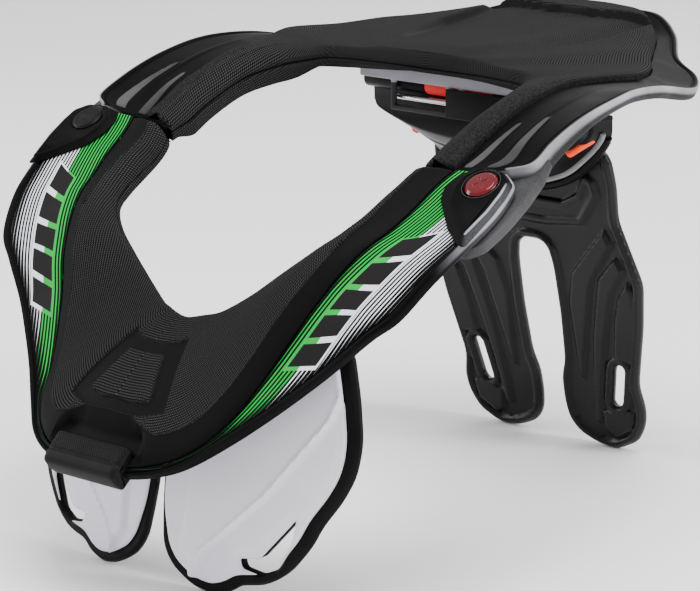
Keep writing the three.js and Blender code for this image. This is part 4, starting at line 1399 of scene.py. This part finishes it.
CRADLE_HALF = 57
CRADLE_FRONT = 131
CRADLE_TOP = 11
CRADLE_FRONT_DROP = 12
CRADLE_REAR_DROP = 40
CRADLE_ROWS = [
    (-1, 1), (-1, 0.05), (-0.95, -0.26), (-0.75, -0.6), (-0.53, -0.85), (-0.2, -1),
    (0.2, -1), (0.53, -0.85), (0.75, -0.6), (0.95, -0.26), (1, 0.05), (1, 1),
]
CRADLE_GROOVES = [0.32, 0.55]


def cradle_sections(shares, out=0.0):
    """Sections of the belly from the front (0) to the strut (1), and the belly line of each."""
    belly = spline(np.array(CRADLE_ROWS[1:-1]), np.linspace(0, 1, 90))
    rows = []
    for share in shares:
        drop = CRADLE_FRONT_DROP + (CRADLE_REAR_DROP - CRADLE_FRONT_DROP) * share
        top = CRADLE_TOP - 9 * share
        wide = CRADLE_HALF * (1 + 0.05 * share)
        x = np.concatenate([[-wide], belly[:, 0] * wide, [wide]])
        z = np.concatenate([[top], belly[:, 1] * np.where(belly[:, 1] > 0, top, drop), [top]])
        back = STRUT_BACK - STRUT_LEAN * z - GAP
        y = CRADLE_FRONT + share * (back - CRADLE_FRONT)
        section = np.column_stack([x, y, z])
        if out:
            ahead = unit(np.gradient(section[:, [0, 2]], axis=0))
            section[:, 0] += ahead[:, 1] * out
            section[:, 2] -= ahead[:, 0] * out
        rows.append(section)
    return np.stack(rows)


def cradle_piece():
    shares = np.concatenate([np.linspace(0, 0.05, 5)[:-1], np.linspace(0.05, 1, 90)])
    sections = cradle_sections(shares)
    for k, share in enumerate(shares):
        groove = sum(math.exp(-(((share - at) / 0.028) ** 2)) for at in CRADLE_GROOVES)
        end = 1.2 * (1 - math.sqrt(max(0.0, 1 - (1 - min(share / 0.05, 1)) ** 2)))
        draw = 1.5 * groove + end
        centre = np.array([0, 0, -2.0])
        belly = slice(1, -1)
        toward = unit((centre - sections[k][belly])[:, [0, 2]])
        sections[k][belly, 0] += toward[:, 0] * draw
        sections[k][belly, 2] += toward[:, 1] * draw
    piece = skin("strut_cradle_shell", sections, sharp=35)
    return piece


PIVOT_BACK = 128
PIVOT_UP = 11.5
SLEEVE_RADIUS = 4.2


def rod(name, radius, x0, x1, y, z, rounding=0.4, sides=40):
    """A round bar along X with rounded ends."""
    angles = np.linspace(0, 2 * math.pi, sides + 1)[:-1]
    rows = []
    steps = [(0, 1), (0.3, 0.3), (1, 0)]
    places = [(x0 + ahead * rounding, radius - less * rounding) for ahead, less in steps]
    places += [(x1 - ahead * rounding, radius - less * rounding) for ahead, less in steps[::-1]]
    for x, r in places:
        rows.append(np.column_stack([np.full(sides, x), y + r * np.cos(angles), z + r * np.sin(angles)]))
    return skin(name, np.stack(rows), sharp=30)


PIVOT_ROOM_HALF = CRADLE_HALF + 5
pivot_room = rod(
    "pivot_room", SLEEVE_RADIUS + GAP, -PIVOT_ROOM_HALF, PIVOT_ROOM_HALF, PIVOT_BACK, PIVOT_UP
)
cradle = subtract(cradle_piece(), pivot_room)
cradle_lip_line = cradle_sections([0.8], 0.2)[0]


def tube_along(name, line, radius, sides=12, flatten=1.0):
    """A closed bead along a line of points."""
    run = unit(np.gradient(line, axis=0))
    side = unit(np.cross(run, [0, 1, 0]))
    other = np.cross(run, side)
    angles = np.linspace(0, 2 * math.pi, sides + 1)[:-1]
    rows = [line + radius * (np.cos(a) * side * flatten + np.sin(a) * other) for a in angles]
    return skin(name, np.stack(rows, axis=1), sharp=60)


# Painted highlight: a pale bead along the cradle's lower lip stands for light on its edge.
cradle_lip = tube_along("strut_cradle_lip", cradle_lip_line[8:-8], 1.5)
strip_line = cradle_sections([0.93], -0.2)[0]
cradle_strip = tube_along("strut_cradle_strip", strip_line[10:-10], 2.6, 12, 0.8)


# Painted highlight: a thin grey ring round the button stands for light caught on the chamfer of its hole.
RING_TURN = np.linspace(0, 2 * math.pi, 73)
ring_circle = (BUTTON_RADIUS + 1.15) * np.column_stack([np.cos(RING_TURN), np.sin(RING_TURN)])
ring_line = on_hinge(ring_circle, COVER_HIGH - 0.1)
button_highlight_ring = tube_along("hinge_cover_left_highlight_ring", ring_line, 0.22)


# Small ribs in a row, laid along a seam by Geometry Nodes


def rib_tree():
    tree = bpy.data.node_groups.new("rib row", "GeometryNodeTree")
    inputs = {}
    tree.interface.new_socket("Geometry", in_out="INPUT", socket_type="NodeSocketGeometry")
    for title, kind in (("Size", "NodeSocketVector"), ("Finish", "NodeSocketMaterial")):
        inputs[title] = tree.interface.new_socket(title, in_out="INPUT", socket_type=kind).identifier
    tree.interface.new_socket("Geometry", in_out="OUTPUT", socket_type="NodeSocketGeometry")
    nodes, links = tree.nodes, tree.links
    start, end = nodes.new("NodeGroupInput"), nodes.new("NodeGroupOutput")
    cube = nodes.new("GeometryNodeMeshCube")
    round_off = nodes.new("GeometryNodeSubdivisionSurface")
    round_off.inputs["Level"].default_value = 1
    links.new(start.outputs["Size"], cube.inputs["Size"])
    links.new(cube.outputs["Mesh"], round_off.inputs["Mesh"])
    aim = nodes.new("FunctionNodeAxesToRotation")
    aim.primary_axis = "X"
    aim.secondary_axis = "Z"
    for name, socket in (("rib_run", "Primary Axis"), ("rib_up", "Secondary Axis")):
        read = nodes.new("GeometryNodeInputNamedAttribute")
        read.data_type = "FLOAT_VECTOR"
        read.inputs["Name"].default_value = name
        links.new(read.outputs["Attribute"], aim.inputs[socket])
    spread = nodes.new("GeometryNodeInstanceOnPoints")
    links.new(start.outputs["Geometry"], spread.inputs["Points"])
    links.new(round_off.outputs["Mesh"], spread.inputs["Instance"])
    links.new(aim.outputs["Rotation"], spread.inputs["Rotation"])
    solid = nodes.new("GeometryNodeRealizeInstances")
    paint = nodes.new("GeometryNodeSetMaterial")
    links.new(spread.outputs["Instances"], solid.inputs["Geometry"])
    links.new(solid.outputs["Geometry"], paint.inputs["Geometry"])
    links.new(start.outputs["Finish"], paint.inputs["Material"])
    links.new(paint.outputs["Geometry"], end.inputs["Geometry"])
    return tree, inputs


RIBS, RIB_INPUTS = rib_tree()


def rib_row(name, line, ups, pitch, size, finish):
    """Ribs across a line: size is along the line, across it, and high, in millimetres."""
    walked = np.concatenate([[0], np.cumsum(np.linalg.norm(np.diff(line, axis=0), axis=1))])
    at = np.arange(pitch / 2, walked[-1], pitch)
    points = np.column_stack([np.interp(at, walked, line[:, k]) for k in range(3)])
    up = unit(np.column_stack([np.interp(at, walked, ups[:, k]) for k in range(3)]))
    run = unit(np.gradient(points, axis=0))
    run = unit(run - up * np.sum(run * up, axis=1, keepdims=True))
    mesh = bpy.data.meshes.new(name)
    mesh.from_pydata([tuple(p) for p in to_row(points)], [], [])
    for key, values in (("rib_run", run), ("rib_up", up)):
        attribute = mesh.attributes.new(key, "FLOAT_VECTOR", "POINT")
        attribute.data.foreach_set("vector", np.ascontiguousarray(values, np.float32).ravel())
    piece = bpy.data.objects.new(name, mesh)
    bpy.context.scene.collection.objects.link(piece)
    modifier = piece.modifiers.new("ribs", "NODES")
    modifier.node_group = RIBS
    modifier[RIB_INPUTS["Size"]] = [s * MM for s in size]
    modifier[RIB_INPUTS["Finish"]] = finish
    evaluated = piece.evaluated_get(bpy.context.evaluated_depsgraph_get())
    made = bpy.data.meshes.new_from_object(evaluated)
    piece.modifiers.clear()
    piece.data = made
    made.polygons.foreach_set("use_smooth", [True] * len(made.polygons))
    return piece


def seam_line(half, share, height, low, high, side):
    """A line over a pad at a share of its chord, between two lengths from the hinge."""
    on = (half.along >= low) & (half.along <= high) & (np.sign(half.edge[:, 0]) == side)
    line = half.over_pad(share, height)[on]
    return line, half.chord_up[on]


seams = []
for side, word in ((1, "left"), (-1, "right")):
    share = np.interp(front_soft.along, *zip(*BEVEL_SHARE)) + 0.05
    away = smooth(np.minimum(front_soft.t, 1 - front_soft.t), 0.18, 0.3)
    high = FRONT_CROWN * (0.62 + 0.38 * away) * 1.03 + 0.25
    line, ups = seam_line(front_soft, share, high, 6, 66, side)
    seams.append(rib_row(f"front_pad_seam_{word}", line, ups, 1.5, (0.8, 2.6, 0.7), pad_finish))

strip_ups = unit(np.column_stack([strip_line[:, 0], 0 * strip_line[:, 0], strip_line[:, 2] + 2]))
rib_line = (strip_line + strip_ups * 2.1)[12:-12]
rib_size = (0.9, 4.2, 0.9)
strip_ribs = rib_row("strut_cradle_ribs", rib_line, strip_ups[12:-12], 1.7, rib_size, edge_rubber)


# Pivot, rods, hanger and tabs

hanger = copy_of("strut_hanger", "strut_hanger_frame", 0.7)
ROD_RADIUS = 1.4
PIVOT_KINDS = {
    "sleeve": ("pivot_sleeve", SLEEVE_RADIUS, 0.5),
    "collar": ("pivot_collar", SLEEVE_RADIUS, 0.5),
    "rod": ("lock_rod", ROD_RADIUS, 0.4),
}
pivot_pieces = []
for word in ("left", "right"):
    for kind, (node, radius, rounding) in PIVOT_KINDS.items():
        low, high = [(np.array(corner) - HINGE_MID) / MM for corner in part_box(f"{node}_{word}")]
        middle = (low + high) / 2
        bar = rod(f"pivot_{kind}_{word}_bar", radius, low[0], high[0], middle[1], middle[2], rounding)
        pivot_pieces.append((kind, word, bar))
tabs = []
for word in ("left", "right"):
    tabs.append((word, copy_of(f"slider_tab_{word}", f"slider_tab_{word}_grip", 1.5, 4)))
bridge = copy_of("chest_bridge", "chest_bridge_block", 1.2)

# Plain plate behind which the near window lies: low and high corner
WINDOW_PLATE = [(-3.8, 119.6, -0.8), (38.5, 120.7, 12.6)]


def slab(name, low, high, rounding):
    mesh = bpy.data.meshes.new(name)
    shell = bmesh.new()
    bmesh.ops.create_cube(shell, size=1)
    low, high = to_row([low, high])
    for vertex in shell.verts:
        vertex.co = [(low[k] + high[k]) / 2 + vertex.co[k] * (high[k] - low[k]) for k in range(3)]
    shell.to_mesh(mesh)
    shell.free()
    piece = bpy.data.objects.new(name, mesh)
    bpy.context.scene.collection.objects.link(piece)
    return softened(piece, rounding)


window_plate = slab("hanger_window_plate", *WINDOW_PLATE, 0.3)

# Bodies and solids that the pieces stand for

dress(front_frame, frame_finish, "front_half", "frame_black", "front_frame")
dress(rear_frame, frame_finish, "rear_half", "frame_black", "rear_frame")
dress(front_pad, pad_finish, "front_half", "pad_fabric", "front_pad")
dress(rear_pad, pad_finish, "rear_half", "pad_fabric", "rear_pad")
dress(front_clip, clip_material(), "front_half", "frame_black", "front_clip")
dress(cover_left, frame_finish, "front_half", "frame_black", "hinge_cover_left")
dress(cover_right, frame_finish, "front_half", "frame_black", "hinge_cover_right")
dress(button, red_gloss, "button", "button_red", "release_button")
dress(cap, black_satin, "front_half", "frame_black", "hinge_cap")
dress(button_highlight_ring, painted_light_grey, "front_half", "frame_black")
dress(tongue_left, painted_light_grey, "rear_half", "frame_black")
dress(tongue_right, painted_light_grey, "rear_half", "frame_black")
for word, plate, rubber in wing_pieces:
    dress(plate, wing_finish, "front_half", "wing_white", f"chest_wing_{word}")
    dress(rubber, edge_rubber, "front_half", "edge_rubber", f"chest_wing_edge_{word}")
dress(bridge, black_matte, "front_half", "frame_black", "chest_bridge")
dress(back_strut, black_matte, "strut", "frame_black", "back_strut")
dress(cradle, black_satin, "strut", "frame_black", "strut_cradle")
dress(cradle_lip, lip_highlight_grey, "strut", "frame_black")
dress(cradle_strip, edge_rubber, "strut", "frame_black")
dress(strip_ribs, edge_rubber, "strut", "frame_black")
dress(hanger, hanger_grey, "rear_half", "hanger_grey", "strut_hanger")
dress(window_plate, black_satin, "rear_half", "frame_black")
for piece in seams:
    dress(piece, pad_finish, "front_half", "pad_fabric")
for kind, word, piece in pivot_pieces:
    finish, slot, node = {
        "sleeve": (black_satin, "frame_black", "pivot_sleeve"),
        "collar": (red_collar, "button_red", "pivot_collar"),
        "rod": (rod_steel, "rod_steel", "lock_rod"),
    }[kind]
    dress(piece, finish, "rear_half", slot, f"{node}_{word}")
for word, piece in tabs:
    dress(piece, tab_orange, "strut", "tab_orange", f"slider_tab_{word}")


# Floor, light and camera

floor_mesh = bpy.data.meshes.new("floor")
FLOOR_HALF = 6
floor_corners = [(x * FLOOR_HALF, y * FLOOR_HALF, 0) for x, y in ((-1, -1), (1, -1), (1, 1), (-1, 1))]
floor_mesh.from_pydata(floor_corners, [], [(0, 1, 2, 3)])
floor = bpy.data.objects.new("floor", floor_mesh)
bpy.context.scene.collection.objects.link(floor)
floor_finish, floor_graph, floor_shader = new_material("floor_paper", 0.8)
floor_tone = floor_graph.mix(floor_graph.noise(3.0), (0.93, 0.93, 0.93, 1), (0.96, 0.96, 0.96, 1))
floor_graph.put(floor_shader.inputs["Base Color"], floor_tone)
floor.data.materials.append(floor_finish)

world = bpy.data.worlds.new("studio")
bpy.context.scene.world = world
world.use_nodes = True
world.node_tree.nodes["Background"].inputs["Color"].default_value = (1, 1, 1, 1)
world.node_tree.nodes["Background"].inputs["Strength"].default_value = 0.95


def soft_light(name, place, aim, size, power):
    data = bpy.data.lights.new(name, "AREA")
    data.shape = "RECTANGLE"
    data.size, data.size_y = size
    data.energy = power
    lamp = bpy.data.objects.new(name, data)
    bpy.context.scene.collection.objects.link(lamp)
    lamp.location = place
    lamp.rotation_euler = (Vector(aim) - Vector(place)).to_track_quat("-Z", "Y").to_euler()


soft_light("key_above", (0.3, -0.2, 1.5), (0, 0, 0.1), (0.9, 0.9), 26)
soft_light("side_right", (1.4, 0.5, 0.6), (0, 0, 0.15), (0.35, 1.4), 24)
soft_light("side_left", (-1.3, -0.6, 0.7), (0, 0, 0.15), (0.6, 1.2), 14)
soft_light("back_high", (-0.4, 1.5, 0.9), (0, 0, 0.15), (1.4, 0.5), 7)

# The photograph's view: turn, height over the horizon, distance and lens
VIEW_TURN = math.radians(40.98)
VIEW_RISE = math.radians(13.76)
VIEW_PLACE = (0.85388, -0.99251, 0.41878)
camera_data = bpy.data.cameras.new("camera")
camera_data.sensor_width = 36
camera_data.lens = 154.3
camera = bpy.data.objects.new("camera", camera_data)
bpy.context.scene.collection.objects.link(camera)
camera.location = VIEW_PLACE
camera_back = Vector((
    math.sin(VIEW_TURN) * math.cos(VIEW_RISE),
    -math.cos(VIEW_TURN) * math.cos(VIEW_RISE),
    math.sin(VIEW_RISE),
))
camera.rotation_euler = (-camera_back).to_track_quat("-Z", "Y").to_euler()
bpy.context.scene.camera = camera
